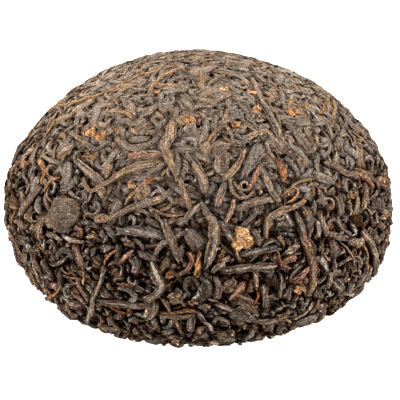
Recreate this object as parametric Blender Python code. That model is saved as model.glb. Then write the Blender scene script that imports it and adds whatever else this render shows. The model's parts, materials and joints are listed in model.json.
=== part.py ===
"""A tuocha of ripe pu-erh tea: loose leaf steamed and pressed into a domed nest.

The cake stands dome up on the ring round its mouth, with the pressed hollow underneath.
It is one solid: a core with a crumpled surface, and the largest rolled leaves and stems
fused on to it. Units are metres, +Z is up, and the origin is the centre of the foot ring.
"""

import math
import random

import bmesh
import bpy
import numpy as np
from mathutils import Matrix, Vector, noise

# Driving dimensions of a 100 g cake
DIAMETER = 0.0840
HEIGHT = 0.0445
WAIST_HEIGHT = 0.0150
FOOT_OUTER_RADIUS = 0.0355
FOOT_INNER_RADIUS = 0.0300
HOLLOW_DEPTH = 0.0190

# Fullness of the section's curves: 2 is an ellipse, less is more pointed, more is squarer
CROWN_FULLNESS = 1.78
BASE_FULLNESS = 2.5
HOLLOW_FULLNESS = 1.5

# The core lies this far under the pressed outline, which the leaves on it fill
LEAF_COVER = 0.0005

# Mesh density of the core
AROUND = 44
CROWN_RINGS = 11
BASE_RINGS = 4
FOOT_RINGS = 1
HOLLOW_RINGS = 6

# Unevenness of the pressing, and the crumple of leaf too fine to model one by one
SWELL_SIZE = 0.030
SWELL_HEIGHT = 0.0007
CRUMPLE_SIZE = 0.0065
CRUMPLE_HEIGHT = 0.0016
CRUMPLE_MIDDLE = 0.1

# Marks of the hand and cloth: heading in degrees, height, size, and rise (or dent)
PRESSING_MARKS = (
    (-55, 0.007, 0.010, -0.0005),
    (-22, 0.011, 0.013, 0.0007),
    (-152, 0.011, 0.013, -0.0007),
    (28, 0.021, 0.012, -0.0007),
    (55, 0.030, 0.012, -0.0007),
)

# Rolled leaves: the outside of the cake takes most of them, and the hollow a few
OUTSIDE_LEAVES = 96
HOLLOW_LEAVES = 8
LEAF_LENGTH = (0.0085, 0.0190)
LEAF_WIDTH = (0.0020, 0.0034)
LEAF_RISE = (0.0007, 0.0012)
LEAF_ROOT = 0.0009
LEAF_STATIONS = 4
LEAF_BEND = 0.9
LEAF_MARGIN = 0.0030
LEAF_SEED = 17

# Steps of the rule that spreads the leaves evenly: powers of the root of x**3 = x + 1
SPREAD_STEPS = (0.7548776662, 0.5698402910)
RADIUS = DIAMETER / 2


def clear_scene():
    """Remove every object that the file opens with."""
    for obj in list(bpy.data.objects):
        bpy.data.objects.remove(obj, do_unlink=True)


def leaf_material():
    """Dark fermented leaf, dull with a slight sheen."""
    material = bpy.data.materials.new("ripe_tea_leaf")
    material.use_nodes = True
    shader = material.node_tree.nodes["Principled BSDF"]
    shader.inputs["Base Color"].default_value = (0.085, 0.058, 0.040, 1.0)
    shader.inputs["Roughness"].default_value = 0.55
    shader.inputs["Metallic"].default_value = 0.0
    return material


def half_section(inset, crown_rings, base_rings, foot_rings, hollow_rings):
    """Radius and height down one side: crown, base, foot ring, then up the hollow."""
    points = []
    for i in range(crown_rings):
        angle = math.pi / 2 * (1 - i / crown_rings)
        across = math.cos(angle) ** (2 / CROWN_FULLNESS)
        up = math.sin(angle) ** (2 / CROWN_FULLNESS)
        radius = (RADIUS - inset) * across
        height = WAIST_HEIGHT + (HEIGHT - inset - WAIST_HEIGHT) * up
        points.append((radius, height))
    foot_outer = FOOT_OUTER_RADIUS - inset
    for i in range(base_rings):
        angle = math.pi / 2 * i / base_rings
        across = math.cos(angle) ** (2 / BASE_FULLNESS)
        down = math.sin(angle) ** (2 / BASE_FULLNESS)
        radius = foot_outer + (RADIUS - inset - foot_outer) * across
        points.append((radius, WAIST_HEIGHT * (1 - down)))
    for i in range(foot_rings):
        radius = foot_outer + (FOOT_INNER_RADIUS - foot_outer) * i / foot_rings
        points.append((radius, 0.0))
    for i in range(hollow_rings + 1):
        share = math.cos(math.pi / 2 * i / hollow_rings)
        height = (HOLLOW_DEPTH + inset) * (1 - share**2) ** HOLLOW_FULLNESS
        points.append((FOOT_INNER_RADIUS * share, height))
    points[0] = (0.0, points[0][1])
    points[-1] = (0.0, points[-1][1])
    return np.array(points)


class PressedForm:
    """The core's smooth turned surface: finds the nearest point on it, and its normal."""

    def __init__(self):
        self.section = half_section(LEAF_COVER, 60, 24, 4, 40)
        steps = np.diff(self.section, axis=0)
        self.lengths = np.hypot(steps[:, 0], steps[:, 1])
        self.along = steps / self.lengths[:, None]
        middle_radius = (self.section[1:, 0] + self.section[:-1, 0]) / 2
        self.areas = np.concatenate([[0.0], np.cumsum(middle_radius * self.lengths)])

    def nearest(self, point):
        """Foot of the perpendicular from a point, and the outward normal there."""
        radial = math.hypot(point.x, point.y)
        turn = math.atan2(point.y, point.x)
        offsets = np.array([radial, point.z]) - self.section[:-1]
        share = np.sum(offsets * self.along, axis=1).clip(0.0, self.lengths)
        feet = self.section[:-1] + self.along * share[:, None]
        gaps = np.hypot(feet[:, 0] - radial, feet[:, 1] - point.z)
        i = int(np.argmin(gaps))
        radius, height = feet[i]
        out, up = -self.along[i, 1], self.along[i, 0]
        foot = Vector((radius * math.cos(turn), radius * math.sin(turn), height))
        normal = Vector((out * math.cos(turn), out * math.sin(turn), up))
        return foot, normal

    def at_area(self, area, turn):
        """The point that has this much of the surface between it and the crown."""
        radius = float(np.interp(area, self.areas, self.section[:, 0]))
        height = float(np.interp(area, self.areas, self.section[:, 1]))
        return Vector((radius * math.cos(turn), radius * math.sin(turn), height))

    def area_at_height(self, height, inside):
        """The area above a height on the outside, or before it is reached in the hollow."""
        foot_index = int(np.argmin(self.section[:, 1]))
        if inside:
            heights = self.section[foot_index:, 1]
            return float(np.interp(height, heights, self.areas[foot_index:]))
        heights = self.section[: foot_index + 1, 1][::-1]
        return float(np.interp(height, heights, self.areas[: foot_index + 1][::-1]))


def surface_relief(point):
    """Height of the unevenness and crumple, which fades out to leave the foot ring flat."""
    swell = noise.noise(point / SWELL_SIZE) * SWELL_HEIGHT
    for heading, height, size, rise in PRESSING_MARKS:
        turn = math.radians(heading) - math.atan2(point.y, point.x)
        sideways = 2 * math.sin(turn / 2) * math.hypot(point.x, point.y)
        gap = math.hypot(sideways, point.z - height) / size
        swell += rise * math.exp(-2 * gap**2)
    crumple = (noise.noise(point / CRUMPLE_SIZE) - CRUMPLE_MIDDLE) * CRUMPLE_HEIGHT
    above_foot = min(point.z / LEAF_MARGIN, 1.0)
    return (swell + crumple) * above_foot


def add_ring(bm, form, radius, height):
    """One ring of the core, or a single vertex on the axis."""
    count = 1 if radius == 0.0 else AROUND
    ring = []
    for i in range(count):
        turn = 2 * math.pi * i / AROUND
        point = Vector((radius * math.cos(turn), radius * math.sin(turn), height))
        _, normal = form.nearest(point)
        ring.append(bm.verts.new(point + normal * surface_relief(point)))
    return ring


def make_core(form):
    """The turned core with its crumpled surface, closed at the crown and in the hollow."""
    bm = bmesh.new()
    section = half_section(LEAF_COVER, CROWN_RINGS, BASE_RINGS, FOOT_RINGS, HOLLOW_RINGS)
    rings = [add_ring(bm, form, radius, height) for radius, height in section]
    for upper, lower in zip(rings, rings[1:]):
        for i in range(AROUND):
            j = (i + 1) % AROUND
            if len(upper) == 1:
                bm.faces.new((upper[0], lower[i], lower[j]))
            elif len(lower) == 1:
                bm.faces.new((upper[i], lower[0], upper[j]))
            else:
                bm.faces.new((upper[i], lower[i], lower[j], upper[j]))
    bmesh.ops.triangulate(bm, faces=bm.faces[:])
    mesh = bpy.data.meshes.new("tuocha")
    bm.to_mesh(mesh)
    bm.free()
    core = bpy.data.objects.new("tuocha", mesh)
    bpy.context.scene.collection.objects.link(core)
    return core


def leaf_path(form, start, heading, length, bend):
    """Points and normals of a leaf's middle line, which follows the core's surface."""
    point, normal = form.nearest(start)
    level = normal.cross(Vector((0.0, 0.0, 1.0)))
    if level.length < 0.1:
        level = Vector((1.0, 0.0, 0.0))
    across = normal.cross(level.normalized())
    direction = level.normalized() * math.cos(heading) + across * math.sin(heading)
    step = length / (LEAF_STATIONS + 1)
    path = [(point, normal)]
    for _ in range(LEAF_STATIONS + 1):
        sideways = normal.cross(direction)
        direction = (direction + sideways * bend / (LEAF_STATIONS + 1)).normalized()
        point, normal = form.nearest(point + direction * step)
        direction = (direction - normal * direction.dot(normal)).normalized()
        if point.z < LEAF_MARGIN:
            break
        path.append((point, normal))
    return path


def rolled_leaf(form, path, width, rise, name):
    """A closed, ridged strip with tapered tips, its underside sunk in the core."""
    bm = bmesh.new()
    last = len(path) - 1
    rings = []
    for i, (point, normal) in enumerate(path):
        before = path[max(i - 1, 0)][0]
        after = path[min(i + 1, last)][0]
        sideways = normal.cross(after - before).normalized()
        base = point + normal * surface_relief(point)
        if i in (0, last):
            rings.append([bm.verts.new(base - normal * LEAF_ROOT / 2)])
            continue
        fullness = math.sin(math.pi * i / last) ** 0.4
        half = width / 2 * fullness
        ridge = 0.5 if i % 2 else 0.25
        outline = (
            (-half, 0.10 * rise),
            (-half * ridge, rise * fullness),
            (half * (0.75 - ridge), rise * fullness * 0.9),
            (half, 0.10 * rise),
            (0.0, -LEAF_ROOT),
        )
        rings.append([bm.verts.new(base + sideways * a + normal * b) for a, b in outline])
    sides = len(outline)
    for first, second in zip(rings, rings[1:]):
        for a in range(sides):
            b = (a + 1) % sides
            if len(first) == 1:
                bm.faces.new((first[0], second[b], second[a]))
            elif len(second) == 1:
                bm.faces.new((first[a], first[b], second[0]))
            else:
                bm.faces.new((first[a], first[b], second[b], second[a]))
    bmesh.ops.triangulate(bm, faces=bm.faces[:])
    bmesh.ops.recalc_face_normals(bm, faces=bm.faces[:])
    mesh = bpy.data.meshes.new(name)
    bm.to_mesh(mesh)
    bm.free()
    return bpy.data.objects.new(name, mesh)


def scatter_leaves(form, pressed_on):
    """Leaves evenly over the outside, the largest first, then a few in the hollow."""
    draw = random.Random(LEAF_SEED)
    outside_area = form.area_at_height(LEAF_MARGIN * 1.5, inside=False)
    hollow_area = form.area_at_height(LEAF_MARGIN * 1.5, inside=True)
    whole_area = float(form.areas[-1])
    total = OUTSIDE_LEAVES + HOLLOW_LEAVES
    for i in range(total):
        if i < OUTSIDE_LEAVES:
            share = (0.5 + i * SPREAD_STEPS[0]) % 1.0
            area = outside_area * share
            largeness = 1 - i / OUTSIDE_LEAVES
        else:
            share = (i - OUTSIDE_LEAVES + 0.5) / HOLLOW_LEAVES
            area = hollow_area + (whole_area - hollow_area) * share
            largeness = 0.5
        start = form.at_area(area, 2 * math.pi * (i * SPREAD_STEPS[1] % 1.0))
        heading = draw.uniform(0, 2 * math.pi)
        length = LEAF_LENGTH[0] + (LEAF_LENGTH[1] - LEAF_LENGTH[0]) * largeness
        length *= draw.uniform(0.75, 1.0)
        width = draw.uniform(*LEAF_WIDTH)
        bend = draw.uniform(-LEAF_BEND, LEAF_BEND)
        rise = draw.uniform(*LEAF_RISE)
        path = leaf_path(form, start, heading, length, bend)
        if len(path) > LEAF_STATIONS - 1:
            leaf = rolled_leaf(form, path, width, rise, f"leaf_{i:03d}")
            pressed_on.objects.link(leaf)


def fuse(core, pressed_on):
    """Join every leaf to the core with one union, and remove the loose leaves."""
    union = core.modifiers.new("fuse_leaves", "BOOLEAN")
    union.operation = "UNION"
    union.operand_type = "COLLECTION"
    union.collection = pressed_on
    union.solver = "MANIFOLD"
    graph = bpy.context.evaluated_depsgraph_get()
    fused = bpy.data.meshes.new_from_object(core.evaluated_get(graph))
    core.modifiers.clear()
    core.data = fused
    for leaf in list(pressed_on.objects):
        bpy.data.objects.remove(leaf, do_unlink=True)
    bpy.data.collections.remove(pressed_on)


def shell_of(start):
    """Every face that is joined to this one, edge by edge."""
    found = {start}
    waiting = [start]
    while waiting:
        for edge in waiting.pop().edges:
            for face in edge.link_faces:
                if face not in found:
                    found.add(face)
                    waiting.append(face)
    return found


def keep_outer_shell(core):
    """Fill the hollows that fusing sealed and drop loose scraps: one shell is left."""
    bm = bmesh.new()
    bm.from_mesh(core.data)
    left = set(bm.faces)
    shells = []
    while left:
        shell = shell_of(next(iter(left)))
        left -= shell
        shells.append(shell)
    shells.sort(key=len)
    for shell in shells[:-1]:
        bmesh.ops.delete(bm, geom=list(shell), context="FACES")
    loose = [vert for vert in bm.verts if not vert.link_faces]
    bmesh.ops.delete(bm, geom=loose, context="VERTS")
    bm.to_mesh(core.data)
    bm.free()


def centre_on_axis(core):
    """Slide the cake so that its box is centred over the origin."""
    corners = [Vector(corner) for corner in core.bound_box]
    middle = sum(corners, Vector()) / len(corners)
    core.data.transform(Matrix.Translation((-middle.x, -middle.y, 0.0)))


def make_tuocha():
    """The whole cake as one closed solid."""
    form = PressedForm()
    core = make_core(form)
    pressed_on = bpy.data.collections.new("pressed_on")
    bpy.context.scene.collection.children.link(pressed_on)
    scatter_leaves(form, pressed_on)
    bpy.context.view_layer.update()
    fuse(core, pressed_on)
    keep_outer_shell(core)
    centre_on_axis(core)
    core.data.materials.clear()
    core.data.materials.append(leaf_material())
    core.data.shade_smooth()
    core.data.set_sharp_from_angle(angle=math.radians(40))


clear_scene()
make_tuocha()
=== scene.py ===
# %% [markdown]
# # A tuocha: a nest of pressed ripe pu-erh tea
#
# Loose leaf is steamed soft, wrapped in cloth and squeezed into a small dome with a hollow
# underneath. Every strand keeps its own shape, but the outermost ones are pressed flat to one
# smooth outline. That is the plan of this file as well: one turned outline, a dark bed of
# packed leaf under it, and then, kind by kind, the strands, flakes, stems, golden tips and
# crumbs that lie over the bed and are pressed level with the outline.

import json
import math
import random

import bmesh
import bpy
import numpy as np
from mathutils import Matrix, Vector, noise
from mathutils.bvhtree import BVHTree

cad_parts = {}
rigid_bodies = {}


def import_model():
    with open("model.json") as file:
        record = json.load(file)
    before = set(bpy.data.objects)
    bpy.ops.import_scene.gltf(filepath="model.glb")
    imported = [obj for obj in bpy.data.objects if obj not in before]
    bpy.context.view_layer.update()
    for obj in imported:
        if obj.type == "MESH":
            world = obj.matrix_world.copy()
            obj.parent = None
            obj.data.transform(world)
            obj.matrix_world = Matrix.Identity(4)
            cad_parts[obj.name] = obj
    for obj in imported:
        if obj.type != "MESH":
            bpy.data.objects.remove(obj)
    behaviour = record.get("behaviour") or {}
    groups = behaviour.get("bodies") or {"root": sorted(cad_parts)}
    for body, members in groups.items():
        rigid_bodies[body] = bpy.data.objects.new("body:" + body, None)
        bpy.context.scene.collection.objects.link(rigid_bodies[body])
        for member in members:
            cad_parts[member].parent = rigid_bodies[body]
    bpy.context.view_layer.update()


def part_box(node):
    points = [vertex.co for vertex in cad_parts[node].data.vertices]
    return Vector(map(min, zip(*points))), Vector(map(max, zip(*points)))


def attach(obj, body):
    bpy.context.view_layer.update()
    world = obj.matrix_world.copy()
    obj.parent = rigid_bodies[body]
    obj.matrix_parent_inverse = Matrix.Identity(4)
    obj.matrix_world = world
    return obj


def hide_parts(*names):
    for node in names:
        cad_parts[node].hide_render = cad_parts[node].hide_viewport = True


MM = 0.001

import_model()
low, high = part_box("tuocha")
print("cake, mm:", [round(v / MM, 1) for v in high - low])

# %% [markdown]
# ## The camera
#
# The photograph looks down on the cake at about thirty degrees, from nine radii away: the
# outline is a little wider than an ellipse of that tilt, which is how the distance shows.
# A long lens on a small object gives the same flat perspective. The camera comes first,
# because some leaves are placed where the photograph shows them.

# %% Camera at the photograph's angle
PHOTO_SIDE = 400
RADIUS = 42.0 * MM
WAIST_HEIGHT = 15.0 * MM
LOOK_DOWN = math.radians(30.5)
DISTANCE = 9.0 * RADIUS
PIXELS_PER_RADIUS = 193.2
PIXEL = RADIUS / PIXELS_PER_RADIUS
WAIST_PIXEL = (199.2, 192.8)
SENSOR = 36.0

camera_data = bpy.data.cameras.new("photo_camera")
camera_data.sensor_width = SENSOR
camera_data.lens = SENSOR * DISTANCE / (PHOTO_SIDE / PIXELS_PER_RADIUS * RADIUS)
camera_data.shift_x = (PHOTO_SIDE / 2 - WAIST_PIXEL[0]) / PHOTO_SIDE
camera_data.shift_y = (WAIST_PIXEL[1] - PHOTO_SIDE / 2) / PHOTO_SIDE
camera_data.clip_start = 0.01
camera = bpy.data.objects.new("photo_camera", camera_data)
bpy.context.scene.collection.objects.link(camera)

waist = Vector((0.0, 0.0, WAIST_HEIGHT))
towards_camera = Vector((0.0, -math.cos(LOOK_DOWN), math.sin(LOOK_DOWN)))
camera_up = Vector((0.0, math.sin(LOOK_DOWN), math.cos(LOOK_DOWN)))
camera.location = waist + towards_camera * DISTANCE
camera.rotation_euler = (math.pi / 2 - LOOK_DOWN, 0.0, 0.0)
bpy.context.scene.camera = camera
print("lens, mm:", round(camera_data.lens, 1))

# %% [markdown]
# ## The pressed outline
#
# The real cake is shaped by a cloth bag on a round mould, so its outline is a turned one:
# a full crown, a waist low down, a tucked-in foot and the nest-like hollow. A lathe or a
# Screw modifier could turn it, but the same curve is needed again to find points on it, so
# it is written as a formula here. The hand leaves a few dents, and they go into the formula.

# %% One side of the outline, from the crown down, under the foot and up the hollow
HEIGHT = 44.5 * MM
FOOT_OUTER = 35.5 * MM
FOOT_INNER = 30.0 * MM
HOLLOW_DEPTH = 19.0 * MM
CROWN_FULLNESS = 1.78
BASE_FULLNESS = 2.5
HOLLOW_FULLNESS = 1.5
NARROWEST_FOOT = 0.5 * MM


def half_section(inset, crown, base, foot, hollow):
    """Radius and height at each step, so far inside the pressed outline."""
    points = []
    for i in range(crown):
        angle = math.pi / 2 * (1 - i / crown)
        across = math.cos(angle) ** (2 / CROWN_FULLNESS)
        up = math.sin(angle) ** (2 / CROWN_FULLNESS)
        rise = (HEIGHT - inset - WAIST_HEIGHT) * up
        points.append(((RADIUS - inset) * across, WAIST_HEIGHT + rise))
    outer = FOOT_OUTER - inset
    inner = min(FOOT_INNER + inset, outer - NARROWEST_FOOT)
    for i in range(base):
        angle = math.pi / 2 * i / base
        across = math.cos(angle) ** (2 / BASE_FULLNESS)
        down = math.sin(angle) ** (2 / BASE_FULLNESS)
        points.append((outer + (RADIUS - inset - outer) * across,
                       inset + (WAIST_HEIGHT - inset) * (1 - down)))
    for i in range(foot):
        points.append((outer + (inner - outer) * i / foot, inset))
    for i in range(hollow + 1):
        share = math.cos(math.pi / 2 * i / hollow)
        height = inset + HOLLOW_DEPTH * (1 - share**2) ** HOLLOW_FULLNESS
        points.append((inner * share, height))
    points[0] = (0.0, points[0][1])
    points[-1] = (0.0, points[-1][1])
    return points


# %% The dents and swellings of the hand and cloth: heading, height, size across and rise
SWELL_SIZE = 30.0 * MM
SWELL_HEIGHT = 0.7 * MM
SETTLED_BELOW = 3.0 * MM
PRESSING_MARKS = (
    (-55, 7 * MM, 10 * MM, -0.5 * MM),
    (-22, 11 * MM, 13 * MM, 0.7 * MM),
    (-152, 11 * MM, 13 * MM, -0.7 * MM),
    (28, 21 * MM, 12 * MM, -0.7 * MM),
    (55, 30 * MM, 12 * MM, -0.7 * MM),
)


def pressing(point):
    """How far the pressed outline swells out or in at a point."""
    swell = noise.noise(point / SWELL_SIZE) * SWELL_HEIGHT
    for heading, height, size, rise in PRESSING_MARKS:
        turn = math.radians(heading) - math.atan2(point.y, point.x)
        sideways = 2 * math.sin(turn / 2) * math.hypot(point.x, point.y)
        gap = math.hypot(sideways, point.z - height) / size
        swell += rise * math.exp(-2 * gap**2)
    return swell * min(point.z / SETTLED_BELOW, 1.0)


# %% Turn the outline into a closed mesh
def turned_mesh(name, inset, around, steps, extra=None):
    """A closed mesh of the outline; extra(point) adds a relief of its own."""
    section = half_section(inset, *steps)
    bm = bmesh.new()
    rings = []
    for k, (radius, height) in enumerate(section):
        before = section[max(k - 1, 0)]
        after = section[min(k + 1, len(section) - 1)]
        run, fall = after[0] - before[0], after[1] - before[1]
        span = math.hypot(run, fall)
        out, up = -fall / span, run / span
        ring = []
        for i in range(1 if radius == 0.0 else around):
            turn = 2 * math.pi * i / around
            point = Vector((radius * math.cos(turn), radius * math.sin(turn), height))
            normal = Vector((out * math.cos(turn), out * math.sin(turn), up))
            if radius == 0.0:
                normal = Vector((0.0, 0.0, 1.0 if k == 0 else -1.0))
            rise = pressing(point) + (extra(point) if extra else 0.0)
            ring.append(bm.verts.new(point + normal * rise))
        rings.append(ring)
    for upper, lower in zip(rings, rings[1:]):
        for i in range(around):
            j = (i + 1) % around
            if len(upper) == 1:
                bm.faces.new((upper[0], lower[i], lower[j]))
            elif len(lower) == 1:
                bm.faces.new((upper[i], lower[0], upper[j]))
            else:
                bm.faces.new((upper[i], lower[i], lower[j], upper[j]))
    bmesh.ops.recalc_face_normals(bm, faces=bm.faces[:])
    mesh = bpy.data.meshes.new(name)
    bm.to_mesh(mesh)
    bm.free()
    mesh.shade_smooth()
    return mesh


def add_object(name, mesh):
    """Link a mesh into the scene as an object at the origin."""
    obj = bpy.data.objects.new(name, mesh)
    bpy.context.scene.collection.objects.link(obj)
    return obj


def give_values(mesh, name, values):
    """Store one number for each vertex, for the materials to read."""
    mesh.attributes.new(name, "FLOAT", "POINT").data.foreach_set("value", values)


# %% [markdown]
# ## The form that leaves are pressed against
#
# The leaves need a surface to lie on. It sits a leaf's thickness inside the outline, and it
# is only a mould: it carries the scatter, it is asked for nearest points and normals, and it
# is removed at the end. To place a leaf of the photograph, a ray from the camera through its
# pixel finds the mould. The leaf itself is seen about a millimetre higher, which moves it
# sideways where the surface is steep, so the point is corrected a few times. Pixels just
# outside the mould take its nearest point.

# %% Make the mould and a quick way to find points on it
LEAF_COVER = 1.2 * MM
PROUD = 0.35 * MM
LEVEL = LEAF_COVER + PROUD
SEEN_LEVEL = 1.1 * MM
CORRECTIONS = 3
MOULD_AROUND = 240
MOULD_STEPS = (56, 24, 6, 40)

mould = add_object("mould", turned_mesh("mould", LEAF_COVER, MOULD_AROUND, MOULD_STEPS))
mould_tree = BVHTree.FromObject(mould, bpy.context.evaluated_depsgraph_get())
mould_normals = np.array([v.normal for v in mould.data.vertices])
print("mould faces:", len(mould.data.polygons))


def at_pixel(x, y):
    """The point of the mould, and its normal, over which a leaf is seen at a pixel."""
    right = Vector((1.0, 0.0, 0.0)) * (x - WAIST_PIXEL[0]) * PIXEL
    up = camera_up * (WAIST_PIXEL[1] - y) * PIXEL
    direction = (waist + right + up - camera.location).normalized()
    point, normal, _, _ = mould_tree.ray_cast(camera.location, direction)
    if point is None:
        aim = camera.location + direction * DISTANCE
        point, normal, _, _ = mould_tree.find_nearest(aim)
    for _ in range(CORRECTIONS):
        seen = point + normal * SEEN_LEVEL
        on_ray = camera.location + direction * (seen - camera.location).dot(direction)
        point, normal, _, _ = mould_tree.find_nearest(on_ray - normal * SEEN_LEVEL)
    return point, normal


# %% [markdown]
# ## A rolled leaf
#
# Ripe tea is rolled: each leaf is a twisted, flattened strand with lengthwise ridges, drawn
# to a point or torn off square at its ends. A tube along a curve would be too even, so each
# strand is built ring by ring. Its section is an oval pressed nearly square, whose radius
# rises and falls into folds, and the folds drift round the strand as the leaf is twisted.
# Flat scraps are built as flakes: rings inside a torn outline, with an underside, so that
# they are closed too, and waved, crumpled or domed. The same builders serve the strands
# that the photograph shows clearly and the patterns that are scattered by the hundred.

# %% The builder of strands and flakes
USUAL_WIDTH = 1.3 * MM
MAP_LENGTH = 10.0 * MM
MAP_WIDTH = 8.0 * MM
MAP_TIP = 0.05
SQUARE_END = 0.62
FOLD_SIZE, FINE_FOLD_SIZE = 1.6 * MM, 0.6 * MM


class LeafMesh:
    """Collects closed leaf shapes with a map and five values at each vertex.

    The ridge tells how far a vertex stands out of the leaf's furrows and faces up; it is nought
    on a strand's sides and underneath. The finish paints shade where it is low and a pale
    highlight, with rubbed wear, where it is high. Tone and hue pick the leaf's brown, the crown
    is how high the leaf rises over its middle line, and the girth is its width against a usual
    leaf's, which keeps the grain equally fine on all of them.
    """

    def __init__(self):
        self.verts, self.faces, self.maps = [], [], []
        self.values = {"ridge": [], "tone": [], "hue": [], "crown": [], "girth": []}

    def add_vertex(self, spot, *values):
        """A vertex with its ridge, tone, hue, crown and girth."""
        self.verts.append(spot)
        for name, value in zip(self.values, values):
            self.values[name].append(value)

    def add_face(self, face, corners):
        """A face with its corners on the map."""
        self.faces.append(face)
        self.maps.append(corners)

    def strand(self, points, normals, width, thick, draw, tone=0.5, hue=0.5, ridge=0.2,
               twist=0.5, wrinkle=0.03, blunt=(0.6, 0.6), fullness=0.22, sides=9, square=0.7,
               profile=(1.0, 1.0), uneven=0.3):
        """One strand round the line through points, width across and thick from top to bottom."""
        base, count = len(self.verts), len(points)
        own = (tone, hue, thick / 2, width / USUAL_WIDTH)
        start = draw.uniform(0, 2 * math.pi)
        creases = draw.choice((3, 4, 5) if sides < 12 else (5, 6, 7))
        first, slip = draw.uniform(0, math.pi), draw.uniform(-1.2, 1.2)
        folds = [[draw.uniform(-1, 1) for _ in range(sides)] for _ in range(2)]
        girth, lean = 1.0, draw.uniform(0.7, 1.45)
        length = sum((b - a).length for a, b in zip(points, points[1:]))
        ends = []
        for i, (point, normal) in enumerate(zip(points, normals)):
            along = (points[min(i + 1, count - 1)] - points[max(i - 1, 0)]).normalized()
            side = normal.cross(along).normalized()
            share = i / (count - 1)
            taper = math.sin(math.pi * (0.08 + 0.84 * share**lean)) ** fullness
            taper = max(taper, blunt[0] * (1 - 3 * share), blunt[1] * (3 * share - 2))
            girth = 0.4 * girth + 0.6 * draw.uniform(1 - uneven, 1 + uneven)
            taper *= girth
            tear = width * taper * (0.35 if i in (0, count - 1) else 0.08)
            broad = np.interp(share, np.linspace(0, 1, len(profile)), profile)
            middle = point + side * draw.uniform(-0.05, 0.05) * width
            near, far = math.cos(math.pi / 2 * share), math.sin(math.pi / 2 * share)
            for j in range(sides):
                turn = start + 2 * math.pi * (j / sides + twist * share)
                round_leaf = creases * math.pi * j / sides + first + slip * share
                fold = 1.5 * abs(math.cos(round_leaf)) - 0.9
                fold += 0.4 * (folds[0][j] * near + folds[1][j] * far)
                bump = draw.uniform(-wrinkle, wrinkle)
                right, up = math.cos(turn), math.sin(turn)
                across = math.copysign(abs(right) ** square, right) * width / 2 * broad
                across *= taper * (1 + 0.6 * ridge * fold + bump)
                height = math.copysign(abs(up) ** square, up) * thick / 2
                height *= taper * (1 + 1.5 * ridge * fold + bump)
                torn = along * draw.uniform(-tear, tear)
                # The ridge value, high on folds that face up and nought on the sides and
                # underneath: the finish paints shade where it is low and highlight where it is high
                ridge_light_and_shade = min(max(0.5 + 0.5 * fold, 0.0), 1.0) * max(up, 0.0) ** 0.5
                self.add_vertex(middle + side * across + normal * height + torn, ridge_light_and_shade, *own)
            ends.append((middle, along, taper * broad))
        for (middle, along, taper), out in ((ends[0], -1), (ends[-1], 1)):
            reach = width * taper * (0.25 if taper > SQUARE_END else 0.6)
            self.add_vertex(middle + along * out * reach, 0.3, *own)
        u = [length / MAP_LENGTH * i / (count - 1) for i in range(count)]
        last = base + (count - 1) * sides
        tip = last + sides
        for i in range(count):
            a = base + i * sides
            for j in range(sides):
                k, v0, v1 = (j + 1) % sides, j / sides, (j + 1) / sides
                if i < count - 1:
                    b, u0, u1 = a + sides, u[i], u[i + 1]
                    self.add_face((a + j, b + j, b + k, a + k),
                                  ((u0, v0), (u1, v0), (u1, v1), (u0, v1)))
                else:
                    self.add_face((tip, base + j, base + k),
                                  ((-MAP_TIP, v0), (0.0, v0), (0.0, v1)))
                    self.add_face((last + j, tip + 1, last + k),
                                  ((u[-1], v0), (u[-1] + MAP_TIP, v0), (u[-1], v1)))

    def flake(self, centre, normal, axis, size, draw, tone=0.5, hue=0.5, stretch=1.5, curl=0.25,
              sides=12, ragged=0.25, rings=(1.0, 0.55), crumple=0.0, dome=0.0, rub_and_light=1.0):
        """A thin wavy piece of flat leaf along axis with a torn outline, or a crumpled one."""
        base, depth = len(self.verts), len(rings)
        side = normal.cross(axis).normalized()
        thick = 0.07 * size
        own = (tone, hue, thick + curl * size * 0.15, size / USUAL_WIDTH)
        phase = draw.uniform(0, 2 * math.pi)
        reach = []
        for j in range(sides):
            turn = 2 * math.pi * j / sides
            lobe = noise.noise(Vector((1.3 * math.cos(turn), 1.3 * math.sin(turn), 9 * phase)))
            reach.append(0.87 + 1.6 * ragged * lobe + draw.uniform(-0.25, 0.25) * ragged)
        corners = {}
        over = [(ring, thick * (0.9 if ring < 1.0 else 0.3), 1) for ring in rings]
        under = [(ring, -thick * (0.6 if ring < 1.0 else 0.4), 0) for ring in rings[::-1]]
        for ring, level, top in over + under:
            for j in range(sides):
                turn = 2 * math.pi * j / sides
                x = math.cos(turn) * size / 2 * stretch * ring * reach[j]
                y = math.sin(turn) * size / 2 * ring * reach[j]
                wave = math.sin(2 * turn + phase) * ring + math.cos(3 * turn - phase) * 0.5 * ring
                fold = abs(noise.noise(Vector((x, y, phase * MM)) / FOLD_SIZE)) * 2.2 - 0.8
                fold += noise.noise(Vector((x, y, -phase * MM)) / FINE_FOLD_SIZE) * 0.8
                height = level + curl * size * 0.2 * wave + top * crumple * fold
                height += dome * (1 - ring**2)
                # The ridge value, nought underneath and in the pits, where the finish paints shade,
                # and higher on raised waves and folds, where it paints rub and highlight
                shown = 0.35 + 0.4 * wave if crumple == 0.0 else 0.45 + 0.5 * fold
                corners[len(self.verts)] = (x / MAP_LENGTH, y / MAP_WIDTH)
                self.add_vertex(centre + axis * x + side * y + normal * height,
                                min(max(shown, 0.0), 1.0) * top * rub_and_light, *own)
        top, bottom = len(self.verts), len(self.verts) + 1
        for level in (0.8, -0.6):
            corners[len(self.verts)] = (0.0, 0.0)
            self.add_vertex(centre + normal * thick * level, 0.4, *own)
        last = base + (2 * depth - 1) * sides
        inner, lower = base + (depth - 1) * sides, base + depth * sides
        for j in range(sides):
            k = (j + 1) % sides
            faces = [(b + j, b - sides + j, b - sides + k, b + k)
                     for b in range(base + sides, last + 1, sides) if b != lower]
            faces += [(base + j, last + j, last + k, base + k), (top, inner + j, inner + k),
                      (bottom, lower + k, lower + j)]
            for face in faces:
                self.add_face(face, tuple(corners[vertex] for vertex in face))

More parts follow.
